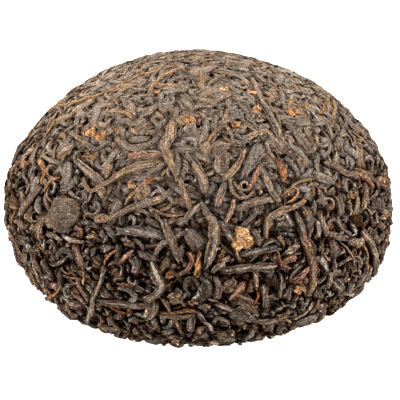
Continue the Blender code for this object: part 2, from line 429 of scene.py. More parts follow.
    def build(self, name):
        """The collected shapes as one mesh."""
        mesh = bpy.data.meshes.new(name)
        mesh.from_pydata([tuple(v) for v in self.verts], [], self.faces)
        layer = mesh.uv_layers.new(name="leaf_map")
        flat = [value for corners in self.maps for corner in corners for value in corner]
        layer.data.foreach_set("uv", flat)
        for value_name, values in self.values.items():
            give_values(mesh, value_name, values)
        mesh.shade_smooth()
        mesh.update()
        return mesh


# %% [markdown]
# ## Patterns for the scatter
#
# Hundreds of leaves are too many to draw one by one, and one pattern repeated would show.
# Six to twenty of each kind, bent differently, each turned, scaled and wrapped over the dome
# by its own amount, are enough for the eye. Patterns lie flat, heading along X with +Z up,
# their ends droop a little, and each has only a few dozen faces.

# %% A bent line for a pattern to follow
def bent_line(length, bend, swing, stations, draw, droop=0.5, kink=0.16):
    """Points on a line that curves by bend, by swing at its ends, kinks, and droops there."""
    heading = -bend / 2
    point = Vector((0.0, 0.0, 0.0))
    points = [point.copy()]
    step = length / (stations - 1)
    for i in range(stations - 1):
        share = i / (stations - 2)
        heading += (bend + swing * (2 * share - 1)) / (stations - 1) + draw.uniform(-kink, kink)
        point = point + Vector((math.cos(heading), math.sin(heading), 0.0)) * step
        points.append(point.copy())
    middle = sum(points, Vector()) / len(points)
    lean = draw.uniform(-0.4, 0.4)
    for i, point in enumerate(points):
        point -= middle
        point.z = -droop * MM * abs(2 * i / (stations - 1) - 1 + lean) ** 2.5
    return points


def pattern_collection(name, count, seed, make):
    """A hidden collection of patterns; make(leaf, draw, index) fills each one."""
    collection = bpy.data.collections.new(name)
    draw = random.Random(seed)
    for i in range(count):
        leaf = LeafMesh()
        make(leaf, draw, i)
        mesh = leaf.build(f"{name}_{i:02d}")
        for given_later in ("tone", "hue"):
            mesh.attributes.remove(mesh.attributes[given_later])
        collection.objects.link(bpy.data.objects.new(f"{name}_{i:02d}", mesh))
    faces = [len(o.data.polygons) for o in collection.objects]
    print(name, "patterns:", count, "with at most", max(faces), "faces")
    return collection


UP = Vector((0.0, 0.0, 1.0))


# %% Rolled strands, bowed and S-shaped, every fourth one a hook, and flakes of flat leaf
def rolled_pattern(leaf, draw, index):
    """A rolled strand; every fourth one is a hook."""
    length = draw.uniform(3.8, 9.0) * MM
    width = draw.uniform(0.9, 1.7) * MM
    bend = draw.uniform(-1.6, 1.6)
    swing = draw.uniform(-2.0, 2.0)
    if index % 4 == 3:
        bend = draw.choice((-3.4, 3.4))
        length *= 0.8
    points = bent_line(length, bend, swing, 9, draw, droop=0.9)
    blunt = (draw.choice((0.0, 0.6, 0.9)), draw.choice((0.0, 0.6, 0.9)))
    leaf.strand(points, [UP] * 9, width, width * draw.uniform(0.55, 0.75), draw,
                ridge=draw.uniform(0.24, 0.36), twist=draw.uniform(-0.6, 0.6), wrinkle=0.04,
                blunt=blunt, sides=9)


def flake_pattern(leaf, draw, index):
    """A wavy flake of flat leaf."""
    size = draw.uniform(2.2, 3.8) * MM
    leaf.flake(Vector(), UP, Vector((1.0, 0.0, 0.0)), size, draw,
               stretch=draw.uniform(1.1, 1.9), curl=draw.uniform(0.15, 0.4))


patterns_of = {"rolled": pattern_collection("rolled_pattern", 20, 3, rolled_pattern),
               "flake": pattern_collection("flake_pattern", 8, 7, flake_pattern)}

# %% [markdown]
# The other kinds are strands too and differ only in their numbers, so one recipe makes them
# from a table. Folded leaf is wide and furrowed, broken leaf short and plump with a few tight
# curls, crumpled leaf a wrinkled lump. Flat leaf, wide and thin, is what the hardest pressing
# makes of a leaf at the crown. Curls are thin and bent into loops. Stems are long and smooth,
# tips short and pointed. Scraps and crumbs fill what is left.


# %% One recipe for them: lengths and widths in millimetres, angles in radians
def broken_bend(draw, index):
    """A bow to either side; every third one is a hook."""
    return draw.uniform(-2.6, 2.6) if index % 3 else draw.choice((-3.8, 3.8))


def curled_bend(draw, index):
    """Most of a loop, to either side."""
    return draw.uniform(3.6, 5.4) * draw.choice((-1, 1))


STRAND_KINDS = {
    "folded": (14, 31, dict(length=(5.0, 9.5), width=(1.9, 3.0), bend=(-0.9, 0.9),
                            swing=(-0.8, 0.8), stations=7, droop=0.8, flat=(0.9, 1.3),
                            ridge=(0.26, 0.40), twist=(-0.2, 0.2), wrinkle=0.04,
                            blunt=((0.2, 0.9), (0.2, 0.9)), sides=12, square=0.6)),
    "broken": (18, 5, dict(length=(2.0, 4.6), width=(0.8, 1.5), bend=broken_bend,
                           swing=(-1.0, 1.0), stations=6, plump=(0.6, 0.85),
                           ridge=(0.22, 0.36), twist=(-0.7, 0.7), wrinkle=0.06,
                           blunt=((0.4, 1.0), (0.4, 1.0)), sides=7)),
    "crumpled": (16, 37, dict(length=(1.8, 3.6), width=(1.3, 2.4), bend=(-1.5, 1.5),
                              swing=(-1.0, 1.0), stations=5, flat=(0.9, 1.3),
                              ridge=(0.26, 0.40), twist=(-0.9, 0.9), wrinkle=0.09,
                              blunt=((0.4, 0.9), (0.4, 0.9)), sides=9, square=0.8)),
    "flat": (12, 47, dict(length=(3.5, 7.5), width=(2.2, 4.2), bend=(-0.8, 0.8),
                          swing=(-0.6, 0.6), stations=7, flat=(0.6, 0.9),
                          ridge=(0.16, 0.28), twist=(-0.1, 0.1), wrinkle=0.05,
                          blunt=((0.3, 0.9), (0.3, 0.9)), sides=14, square=0.5)),
    "curled": (12, 41, dict(length=(4.0, 7.5), width=(0.65, 1.1), bend=curled_bend,
                            swing=(-2.0, 2.0), stations=11, plump=0.8, ridge=(0.16, 0.28),
                            twist=(-0.5, 0.5), blunt=((0.0, 0.9), 0.3), sides=8)),
    "stem": (6, 11, dict(length=(8.0, 16.0), width=(0.75, 1.15), bend=(-0.6, 0.6),
                         swing=(-0.6, 0.6), stations=8, droop=0.9, plump=0.8, ridge=0.06,
                         twist=0.15, blunt=(0.9, 0.7), fullness=0.2, sides=8, wrinkle=0.04)),
    "tip": (8, 13, dict(length=(2.2, 5.0), width=(0.7, 1.2), bend=(-2.0, 2.0), swing=0.0,
                        stations=6, plump=0.75, ridge=0.10, twist=0.4, blunt=(0.8, 0.0),
                        fullness=0.6, sides=8)),
    "scrap": (14, 43, dict(length=(1.8, 3.6), width=(0.7, 1.3), bend=(-2.4, 2.4), swing=0.0,
                           stations=4, plump=(0.6, 0.9), ridge=0.28, twist=(-0.8, 0.8),
                           blunt=(0.8, 0.6), sides=6, wrinkle=0.08)),
    "crumb": (12, 19, dict(length=(0.9, 2.2), width=(0.8, 1.5), bend=(-1.2, 1.2), swing=0.0,
                           stations=3, plump=(0.6, 0.9), ridge=0.2, twist=0.5,
                           blunt=(0.8, 0.8), sides=6, wrinkle=0.12)),
}


def strand_maker(length, width, bend, swing, stations, ridge, twist, blunt, plump=0.0,
                 flat=None, droop=0.5, **shape):
    """A maker of such patterns; a pair of numbers is a range, drawn anew for each one.

    The thickness is flat, in millimetres, or plump, a share of the width.
    """
    def make(leaf, draw, index):
        """Draw the numbers of one pattern and build it."""
        def own(value):
            """The value, or one drawn from its range."""
            return draw.uniform(*value) if isinstance(value, tuple) else value

        long, wide = own(length) * MM, own(width) * MM
        bent = bend(draw, index) if callable(bend) else own(bend)
        points = bent_line(long, bent, own(swing), stations, draw, droop)
        thick = own(flat) * MM if flat else wide * own(plump)
        leaf.strand(points, [UP] * stations, wide, thick, draw, ridge=own(ridge),
                    twist=own(twist), blunt=tuple(own(end) for end in blunt), **shape)

    return make


for kind, (count, seed, numbers) in STRAND_KINDS.items():
    patterns_of[kind] = pattern_collection(f"{kind}_pattern", count, seed,
                                           strand_maker(**numbers))

# %% [markdown]
# ## Leaves that the photograph shows clearly
#
# Some strands are large, pale or oddly bent enough to be recognised: a long tan stem over
# the crown, a folded dark leaf right of the middle, a golden curl. Each is given by the
# pixels that its middle line passes through. A ray from the camera carries every pixel to
# the mould, so the strand lies on the cake and looks right from any other side too. Several
# widths in one row are those along the strand. A chip is a handful of golden bits.
#
# Flat bits have no middle line, so they are flakes, each given by its centre and heading. One
# of them is large and domed, a lump of crumpled leaf. The pits are flakes as well, dark ones
# that lie low, painted shade in place of holes: a hole through thousands of leaves is harder
# to keep open than to draw.

# %% Lines of the photograph: kind, width in pixels, tone from dark to pale, hue, and pixels
SLATE, GREY, GOLDEN, RED = 0.05, 0.42, 0.66, 1.0
PHOTO_LINES = (
    ("stem", 5, 0.75, GOLDEN, ((55, 113), (71, 108), (89, 102), (104, 97), (119, 91), (131, 84),
                               (145, 78), (158, 75), (170, 70), (184, 67))),
    ("stem", 7, 0.85, GREY, ((147, 99), (153, 90), (160, 82), (170, 76), (183, 72), (199, 70))),
    ("stem", 3, 0.80, GOLDEN, ((160, 89), (170, 86))),
    ("stem", 3, 0.90, GOLDEN, ((284, 102), (293, 107), (302, 113))),
    ("stem", 5, 0.75, GREY, ((329, 102), (332, 112), (330, 122))),
    ("stem", 3, 0.60, GREY, ((82, 267), (85, 275), (84, 284))),
    ("stem", 4, 0.60, GOLDEN, ((45, 191), (51, 183), (60, 178))),
    ("rolled", 6, 0.30, GREY, ((71, 134), (82, 141), (90, 147), (98, 150), (105, 146), (112, 140))),
    ("rolled", 8, 0.38, GREY, ((116, 137), (124, 145), (136, 149), (149, 145), (160, 137))),
    ("folded", (9, 13, 13, 11, 10, 7, 4), 0.74, GOLDEN,
     ((170, 116), (172, 126), (170, 137), (165, 146), (168, 155), (173, 168), (177, 181))),
    ("folded", (3, 6, 7, 6), 0.35, SLATE, ((174, 148), (177, 158), (178, 168), (177, 178))),
    ("folded", 10, 0.66, 0.86, ((127, 157), (139, 156), (151, 155), (163, 154))),
    ("folded", 9, 0.45, GREY, ((76, 160), (83, 166), (93, 175), (104, 183))),
    ("folded", (5, 6, 7, 9, 12, 12, 8), 0.66, GOLDEN,
     ((90, 192), (101, 187), (111, 181), (120, 175), (133, 169), (147, 166), (163, 161))),
    ("rolled", 7, 0.40, GREY, ((146, 176), (153, 171), (160, 167), (166, 162))),
    ("rolled", 6, 0.68, GOLDEN, ((84, 177), (85, 184), (90, 191))),
    ("rolled", 8, 0.54, 0.52, ((96, 220), (108, 219), (123, 212), (138, 206), (151, 202),
                               (163, 197), (172, 190))),
    ("rolled", 6, 0.52, GOLDEN, ((180, 176), (182, 188), (187, 199), (191, 210))),
    ("folded", (5, 9, 12, 13, 12, 11, 9), 0.52, GREY,
     ((201, 202), (206, 212), (213, 222), (214, 235), (212, 248), (209, 259), (205, 270))),
    ("rolled", 5, 0.72, GOLDEN, ((225, 222), (230, 214), (233, 206), (233, 199))),
    ("rolled", 8, 0.70, GOLDEN, ((222, 180), (233, 171), (240, 161), (245, 148))),
    ("rolled", 6, 0.62, 0.50, ((229, 158), (221, 157), (217, 163), (218, 170), (223, 175))),
    ("rolled", 7, 0.52, GREY, ((208, 150), (215, 145), (223, 145), (230, 150))),
    ("folded", (7, 13, 16, 13), 0.36, SLATE, ((242, 179), (248, 167), (255, 155), (262, 142))),
    ("rolled", 6, 0.60, RED, ((262, 162), (257, 172), (252, 184), (247, 191))),
    ("rolled", 7, 0.68, GOLDEN, ((234, 136), (246, 138), (257, 134), (266, 133), (274, 140),
                                 (282, 148))),
    ("rolled", 6, 0.50, GREY, ((273, 158), (268, 151), (266, 145), (271, 143), (276, 150))),
    ("rolled", 4, 0.48, GREY, ((214, 137), (218, 130), (226, 128), (231, 135), (234, 146))),
    ("rolled", 5, 0.52, GREY, ((211, 127), (221, 124), (230, 121))),
    ("folded", 10, 0.44, GREY, ((251, 80), (255, 91), (261, 104), (269, 116), (276, 130),
                                (284, 146))),
    ("rolled", 7, 0.36, SLATE, ((284, 157), (292, 166), (299, 177))),
    ("rolled", 8, 0.48, GREY, ((324, 162), (335, 168), (347, 174), (358, 177))),
    ("rolled", 7, 0.55, RED, ((355, 173), (365, 181), (372, 189))),
    ("rolled", 5, 0.15, SLATE, ((364, 174), (371, 182), (377, 194))),
    ("folded", 9, 0.48, GREY, ((221, 271), (238, 269), (257, 267), (276, 266))),
    ("folded", 9, 0.60, GOLDEN, ((300, 228), (305, 242), (310, 254), (313, 266), (312, 281),
                                 (308, 296))),
    ("rolled", 7, 0.56, GOLDEN, ((266, 238), (268, 220), (279, 212), (293, 207), (306, 200))),
    ("rolled", 8, 0.40, GREY, ((296, 212), (302, 228), (306, 244))),
    ("rolled", 7, 0.34, GREY, ((318, 212), (324, 229), (328, 236))),
    ("rolled", 7, 0.72, GREY, ((328, 233), (336, 236), (344, 239))),
    ("rolled", 10, 0.42, GREY, ((362, 231), (370, 246), (372, 263), (366, 283))),
    ("rolled", 8, 0.45, GREY, ((254, 321), (270, 321), (281, 317), (289, 310))),
    ("rolled", 6, 0.60, GREY, ((154, 256), (161, 245), (171, 239), (184, 232))),
    ("folded", 9, 0.46, GREY, ((163, 219), (168, 231), (174, 246), (180, 262))),
    ("folded", 10, 0.42, SLATE, ((118, 231), (134, 231), (150, 233), (164, 237))),
    ("rolled", 6, 0.55, GREY, ((163, 316), (179, 316), (195, 316))),
    ("folded", 9, 0.36, GREY, ((99, 302), (115, 303), (132, 305), (150, 306))),
    ("rolled", 6, 0.62, GREY, ((104, 268), (101, 283), (95, 295), (93, 307), (89, 320))),
    ("folded", 9, 0.60, GREY, ((152, 263), (157, 274), (162, 286), (155, 295), (143, 301))),
    ("rolled", 4, 0.12, SLATE, ((190, 296), (185, 286), (187, 278), (193, 278), (198, 286),
                                (202, 296))),
    ("rolled", 6, 0.25, SLATE, ((200, 278), (209, 284), (209, 292), (206, 300))),
    ("rolled", 5, 0.52, RED, ((188, 252), (192, 260), (188, 269), (177, 276))),
    ("rolled", 6, 0.45, GREY, ((212, 273), (217, 267), (225, 264))),
    ("rolled", 8, 0.46, RED, ((230, 300), (238, 291), (244, 282))),
    ("rolled", 6, 0.42, RED, ((119, 264), (126, 257), (133, 251))),
    ("rolled", 9, 0.34, SLATE, ((134, 257), (137, 265), (134, 273))),
    ("rolled", 7, 0.26, SLATE, ((118, 288), (130, 290), (136, 297), (129, 302))),
    ("rolled", 7, 0.42, GREY, ((262, 286), (265, 297), (266, 308))),
    ("rolled", 5, 0.48, RED, ((290, 281), (300, 274), (308, 268), (303, 275), (293, 283))),
    ("folded", 9, 0.50, GREY, ((22, 216), (28, 207), (34, 197), (42, 187))),
    ("rolled", 5, 0.45, GREY, ((51, 233), (62, 240))),
    ("rolled", 7, 0.30, SLATE, ((136, 91), (150, 84))),
    ("rolled", 4, 0.25, SLATE, ((162, 85), (168, 82))),
    ("rolled", 6, 0.60, GOLDEN, ((95, 218), (103, 216), (111, 219))),
    ("rolled", 5, 0.50, GREY, ((46, 151), (46, 158), (54, 162), (62, 164))),
    ("folded", 9, 0.50, GREY, ((193, 157), (198, 169), (203, 181), (205, 193))),
    ("rolled", 8, 0.40, GREY, ((224, 183), (221, 195), (217, 207))),
    ("rolled", 7, 0.50, GREY, ((200, 205), (192, 212), (186, 219), (180, 225))),
    ("rolled", 8, 0.45, GREY, ((262, 167), (266, 179), (272, 191), (279, 201))),
    ("folded", 9, 0.48, GREY, ((238, 209), (250, 203), (262, 200), (272, 200))),
    ("rolled", 5, 0.20, SLATE, ((257, 211), (250, 219), (242, 226))),
    ("rolled", 6, 0.45, GREY, ((252, 229), (257, 236), (258, 245))),
    ("rolled", 7, 0.38, SLATE, ((219, 221), (226, 230), (231, 240))),
    ("folded", 7, 0.16, SLATE, ((240, 255), (252, 252), (264, 250), (276, 248))),
    ("rolled", 7, 0.45, RED, ((281, 265), (288, 259), (296, 257))),
    ("rolled", 8, 0.42, GREY, ((215, 277), (219, 287), (216, 299))),
    ("rolled", 8, 0.30, SLATE, ((138, 253), (147, 256), (156, 259))),
    ("rolled", 8, 0.42, GREY, ((113, 128), (125, 122), (137, 125), (148, 120))),
    ("rolled", 7, 0.30, SLATE, ((57, 257), (62, 250), (70, 251), (72, 259))),
    ("tip", 7, 0.85, 0.55, ((39, 161), (44, 165), (46, 171), (45, 177), (42, 184))),
    ("tip", 3, 0.45, RED, ((20, 166), (27, 164), (33, 166))),
    ("tip", 4, 0.60, GREY, ((71, 150), (67, 156), (63, 161))),
    ("tip", 4, 0.60, GREY, ((82, 157), (90, 157), (100, 160))),
    ("tip", 3, 0.65, GREY, ((20, 208), (18, 216), (17, 225))),
    ("tip", 3, 0.60, GREY, ((154, 209), (163, 214), (174, 216), (188, 213))),
    ("tip", 9, 0.80, 0.82, ((276, 159), (280, 166), (283, 174), (284, 182))),
    ("tip", 4, 0.72, GREY, ((361, 242), (364, 256), (363, 272))),
    ("rolled", 4, 0.80, GOLDEN, ((230, 179), (231, 187), (234, 194), (240, 198), (248, 197),
                                 (253, 190))),
    ("rolled", 3, 0.84, GOLDEN, ((233, 181), (236, 187), (241, 190), (247, 190), (250, 185))),
    ("rolled", 3, 0.90, GOLDEN, ((241, 187), (241, 183), (245, 182), (248, 185))),
    ("tip", 4, 0.55, RED, ((109, 306), (118, 310), (129, 313))),
    ("tip", 4, 0.55, GREY, ((117, 284), (127, 284), (136, 287))),
    ("tip", 5, 0.45, GREY, ((160, 313), (175, 312), (190, 310), (197, 312))),
    ("tip", 6, 0.60, GOLDEN, ((200, 251), (198, 264), (197, 278))),
    ("rolled", 3, 0.95, GOLDEN, ((324, 206), (323, 200), (328, 199), (332, 204), (329, 209))),
    ("stem", 3, 0.80, GOLDEN, ((289, 195), (288, 190), (294, 188), (297, 194), (292, 200),
                               (287, 203))),
    ("rolled", 3, 0.95, GOLDEN, ((316, 187), (323, 188), (325, 192))),
    ("tip", 3, 0.70, GOLDEN, ((312, 186), (313, 196))),
    ("tip", 5, 0.85, 0.6, ((47, 286), (53, 289), (57, 297))),
    ("tip", 4, 0.80, 0.6, ((61, 284), (59, 291), (51, 296))),
    ("tip", 3, 0.85, GOLDEN, ((104, 265), (107, 259), (112, 253), (119, 250))),
    ("tip", 3, 0.60, GREY, ((277, 249), (279, 258), (281, 266))),
    ("tip", 4, 0.55, RED, ((258, 292), (257, 298), (252, 305))),
    ("tip", 3, 0.70, GREY, ((276, 315), (284, 312))),
    ("tip", 3, 0.80, GOLDEN, ((314, 104), (320, 107), (321, 113), (317, 116))),
    ("tip", 3, 0.80, GOLDEN, ((327, 221), (331, 229))),
    ("chip", 6, 0.50, GOLDEN, ((219, 254), (222, 258))),
    ("chip", 4, 0.80, GREY, ((42, 244), (45, 247))),
    ("chip", 4, 0.60, RED, ((44, 235), (45, 239))),
    ("chip", 4, 0.85, GREY, ((132, 130), (134, 133))),
    ("chip", 6, 0.70, GOLDEN, ((303, 109), (309, 111))),
    ("chip", 8, 0.55, GREY, ((349, 192), (356, 201))),
    ("chip", 4, 0.90, GREY, ((243, 323), (245, 327))),
    ("rolled", 5, 0.30, SLATE, ((210, 160), (219, 155), (231, 155))),
    ("rolled", 5, 0.42, GREY, ((214, 148), (222, 152), (227, 161), (226, 171))),
    ("rolled", 6, 0.22, SLATE, ((228, 168), (221, 168), (213, 163))),
)

# %% Flat flakes of the photograph: kind, centre, size across, heading, stretch, tone and hue
PHOTO_FLAKES = (
    ("leaf", 242, 314, 15, 22, 2.0, 0.22, SLATE),
    ("lump", 62, 213, 40, -12, 1.2, 0.66, 0.45),
    ("leaf", 68, 187, 9, -20, 2.2, 0.40, SLATE),
    ("leaf", 143, 191, 15, 80, 1.3, 0.50, GOLDEN),
    ("leaf", 128, 99, 10, 3, 3.3, 0.56, GREY),
    ("leaf", 140, 113, 9, -20, 2.0, 0.62, GOLDEN),
    ("leaf", 161, 117, 8, 45, 1.9, 0.36, GREY),
    ("leaf", 182, 136, 14, 60, 1.1, 0.12, SLATE),
    ("leaf", 176, 298, 13, 10, 1.3, 0.52, GOLDEN),
    ("leaf", 193, 302, 8, 0, 1.2, 0.56, GOLDEN),
    ("leaf", 205, 307, 8, 10, 1.4, 0.42, GREY),
    ("leaf", 229, 286, 12, -60, 1.3, 0.36, GREY),
    ("leaf", 105, 295, 7, 10, 1.7, 0.60, GREY),
    ("leaf", 302, 160, 12, 60, 1.5, 0.44, GREY),
    # Pits: dark flakes of painted shade where holes open between the leaves
    ("pit", 226, 155, 11, 0, 1.5, 0.0, GREY),
    ("pit", 150, 126, 11, 60, 1.3, 0.0, GREY),
    ("pit", 270, 281, 10, 20, 1.6, 0.0, GREY),
    ("pit", 358, 221, 12, 35, 1.5, 0.0, GREY),
    ("gold", 242, 233, 9, 35, 1.3, 0.93, 0.6),
    ("gold", 238, 243, 10, -25, 1.2, 0.91, 0.6),
    ("gold", 246, 242, 10, 20, 1.2, 0.88, 0.6),
    ("gold", 190, 122, 9, 30, 1.4, 0.62, GOLDEN),
    ("gold", 224, 91, 7, 10, 1.2, 0.80, GOLDEN),
    ("gold", 292, 114, 9, 5, 1.8, 0.66, 0.8),
    ("gold", 92, 134, 9, 10, 1.3, 0.74, 0.58),
    ("gold", 102, 137, 10, 20, 1.3, 0.62, 0.58),
    ("gold", 255, 112, 8, -38, 1.9, 0.80, GOLDEN),
    ("gold", 236, 126, 7, -20, 1.4, 0.82, GOLDEN),
    ("gold", 251, 94, 8, 20, 1.2, 0.85, GOLDEN),
    ("gold", 297, 289, 7, 45, 1.4, 0.80, 0.8),
    ("gold", 132, 185, 7, 60, 1.2, 0.70, GREY),
    ("gold", 150, 181, 6, -30, 1.4, 0.50, 0.8),
    ("gold", 170, 274, 6, 10, 1.4, 0.60, 0.8),
    ("gold", 302, 117, 4, 30, 2.2, 0.75, GREY),
    ("gold", 158, 94, 5, 50, 1.2, 0.75, GOLDEN),
    ("gold", 306, 214, 4, 25, 2.0, 0.50, 0.8),
)

# %% Draw the strands on the mould, level with the outline
CURVE_STEPS = 12
STATION_GAP, CHIP_STATION_GAP = 0.6 * MM, 0.4 * MM
SEEN_WIDTH = 0.85
THICKEST = 1.3 * MM
THICK_SHARE = 0.65
END_DIP, SWAY, SWAY_TURN = 0.35, 0.12, 0.9
MARKED_TONE = 0.62
CHIP_BITS, CHIP_SPREAD, CHIP_REACH, CHIP_WIDTH, CHIP_THICK = 7, 0.35, 0.22, 0.42, 0.6

marked_leaves, marked_stems, marked_tips = LeafMesh(), LeafMesh(), LeafMesh()
draw_marked = random.Random(29)


def marked_line(pixels, spacing, thick):
    """Points, evenly along a curve through the pixels, and their normals on the mould.

    The points are raised so that a strand of this thickness lies level with the outline, and
    its ends dip between their neighbours.
    """
    ends = [pixels[0], *pixels, pixels[-1]]
    fine = []
    for a, b, c, d in zip(ends, ends[1:], ends[2:], ends[3:]):
        for t in np.linspace(0, 1, CURVE_STEPS, endpoint=False):
            fine.append([0.5 * (2 * q + (r - p) * t + (2 * p - 5 * q + 4 * r - s) * t * t
                                + (3 * q - p - 3 * r + s) * t**3)
                         for p, q, r, s in zip(a, b, c, d)])
    fine.append(pixels[-1])
    raw = [at_pixel(x, y)[0] for x, y in fine]
    travelled = np.cumsum([0.0] + [(b - a).length for a, b in zip(raw, raw[1:])])
    count = max(5, int(travelled[-1] / spacing) + 1)
    points, normals = [], []
    for i, wanted in enumerate(np.linspace(0, travelled[-1], count)):
        spot = Vector([np.interp(wanted, travelled, [p[k] for p in raw]) for k in range(3)])
        point, normal, _, _ = mould_tree.find_nearest(spot)
        down = END_DIP * abs(2 * i / (count - 1) - 1) ** 5 + SWAY * math.sin(i * SWAY_TURN)
        points.append(point + normal * (LEVEL - thick / 2 - down * MM))
        normals.append(normal)
    return points, normals


def lay_chips(pixels, pixel_width, width, thick, tone, hue):
    """A handful of short bits, scattered between two pixels."""
    spread, reach = pixel_width * CHIP_SPREAD, pixel_width * CHIP_REACH
    for _ in range(CHIP_BITS):
        x = draw_marked.uniform(pixels[0][0], pixels[-1][0])
        y = draw_marked.uniform(pixels[0][1], pixels[-1][1])
        x, y = x + draw_marked.uniform(-spread, spread), y + draw_marked.uniform(-spread, spread)
        turn = draw_marked.uniform(0, 2 * math.pi)
        right, down = reach * math.cos(turn), reach * math.sin(turn)
        bit = ((x - right, y - down), (x, y), (x + right, y + down))
        points, normals = marked_line(bit, CHIP_STATION_GAP, thick * CHIP_THICK)
        marked_tips.strand(points, normals, width * CHIP_WIDTH, thick * CHIP_THICK, draw_marked,
                           tone=tone + draw_marked.uniform(-0.2, 0.2), hue=hue, ridge=0.15,
                           blunt=(0.9, 0.9), sides=8, wrinkle=0.14)


# For each kind: its mesh, how far it may be twisted, and its shape
MARKED_KINDS = {
    "rolled": (marked_leaves, 0.5, dict(ridge=0.28, sides=14, wrinkle=0.05, uneven=0.2)),
    "folded": (marked_leaves, 0.15, dict(ridge=0.34, sides=18, wrinkle=0.05, uneven=0.2,
                                         square=0.6)),
    "stem": (marked_stems, None, dict(ridge=0.12, twist=0.1, sides=12, blunt=(0.9, 0.7),
                                      fullness=0.2, wrinkle=0.05)),
    "tip": (marked_tips, None, dict(twist=0.5, sides=10, blunt=(0.6, 0.0), fullness=0.4)),
}
for kind, pixel_widths, tone, hue, pixels in PHOTO_LINES:
    widths = pixel_widths if isinstance(pixel_widths, tuple) else (pixel_widths, pixel_widths)
    width = max(widths) * PIXEL * SEEN_WIDTH
    thick = min(width * THICK_SHARE, THICKEST)
    if kind == "chip":
        lay_chips(pixels, max(widths), width, thick, tone, hue)
        continue
    points, normals = marked_line(pixels, STATION_GAP, thick)
    ends = (draw_marked.choice((0.6, 0.95)), draw_marked.choice((0.6, 0.95)))
    leaves, twisted, shape = MARKED_KINDS[kind]
    if twisted:
        shape = dict(shape, twist=draw_marked.uniform(-twisted, twisted), blunt=ends,
                     profile=[w / max(widths) for w in widths])
    leaves.strand(points, normals, width, thick, draw_marked, tone=tone * MARKED_TONE, hue=hue,
                  **shape)

# %% Draw the flakes: a few millimetres of leaf, and in the pits dark flakes of painted shade
AHEAD_PIXELS = 5
FLAKE = dict(curl=0.08, sides=20, ragged=0.25, rings=np.linspace(1.0, 0.1, 5), crumple=0.22 * MM)
LUMP = dict(FLAKE, curl=0.02, sides=40, ragged=0.12, rings=np.linspace(1.0, 0.1, 12),
            dome=1.2 * MM)
# For each kind: its mesh, the millimetres under the outline, its growth and its shape
FLAKE_KINDS = {
    "leaf": (marked_leaves, 0.3, 1.0, FLAKE),
    "lump": (marked_leaves, 1.2, 1.0, LUMP),
    # A pit has no rub or light on it, so the whole flake takes the furrows' painted shade
    "pit": (marked_leaves, 0.45, 1.0, dict(FLAKE, rub_and_light=0.0)),
    "gold": (marked_tips, 0.12, 1.25, dict(FLAKE, ragged=0.28, crumple=0.15 * MM)),
}
for kind, x, y, size, heading, stretch, tone, hue in PHOTO_FLAKES:
    leaves, sunk, growth, shape = FLAKE_KINDS[kind]
    centre, normal = at_pixel(x, y)
    turn = math.radians(heading)
    ahead, _ = at_pixel(x + AHEAD_PIXELS * math.cos(turn), y + AHEAD_PIXELS * math.sin(turn))
    axis = ahead - centre
    axis = (axis - normal * axis.dot(normal)).normalized()
    leaves.flake(centre + normal * (LEVEL - sunk * MM), normal, axis, size * PIXEL * growth,
                 draw_marked, tone=tone, hue=hue, stretch=stretch, **shape)
print("leaves of the photograph:", len(PHOTO_LINES) + len(PHOTO_FLAKES))

# %% [markdown]
# ## Pressing leaves on with Geometry Nodes
#
# In a pressed cake the outermost leaves lie level with the cloth, and the rest fill in
# behind them. So this heap is laid from the outside in. The tree spreads points over the
# mould, keeps those that fall in a gap, puts a pattern on each, turned at random about the
# surface, and realizes them. Each vertex is carried down its own leaf's normal to the nearest
# point of the mould, and then gets a new height over it:
#
# - A ray from the core outwards finds the underside of what already lies above, and the leaf
#   is laid just under that, or level with the outline where nothing is above.
# - A second ray comes from outside. Where it finds the topmost leaf deeper than the room that
#   a leaf needs, the new leaf passes over it instead, so the leaves weave.
# - Blurring those ceilings over the leaf lets it dive smoothly under its neighbours.
# - The crown is pressed hardest: there only part of each depth is left, and the leaves are
#   more alike in tone, as they are rubbed by the cloth.
# - How deep a leaf lies is stored, and its finish darkens the deeper parts with painted shade, less
#   of it at the crown.

# %% The mould's own outward directions, for the tree to read
mould.data.attributes.new("outward", "FLOAT_VECTOR", "POINT").data.foreach_set(
    "vector", mould_normals.ravel())


# %% Small helpers for building node trees
class Value:
    """A node's output, which can be reckoned with like a number or a vector."""

    def __init__(self, tree, socket):
        self.tree, self.socket = tree, socket
        self.is_vector = socket.type in ("VECTOR", "RGBA")

    def maths(self, operation, other=None):
        """A Math node's result, or a Vector Math node's for a vector or colour."""
        if not self.is_vector:
            return self.tree.add("ShaderNodeMath", {"operation": operation}, _0=self, _1=other)[0]
        inputs = {"_3" if operation == "SCALE" else "_1": other}
        found = self.tree.add("ShaderNodeVectorMath", {"operation": operation}, _0=self, **inputs)
        return found[1 if operation == "DOT_PRODUCT" else 0]

    def __add__(self, other):
        return self.maths("ADD", other)

    def __sub__(self, other):
        return self.maths("SUBTRACT", other)

    def __mul__(self, other):
        return self.maths("SCALE" if self.is_vector else "MULTIPLY", other)


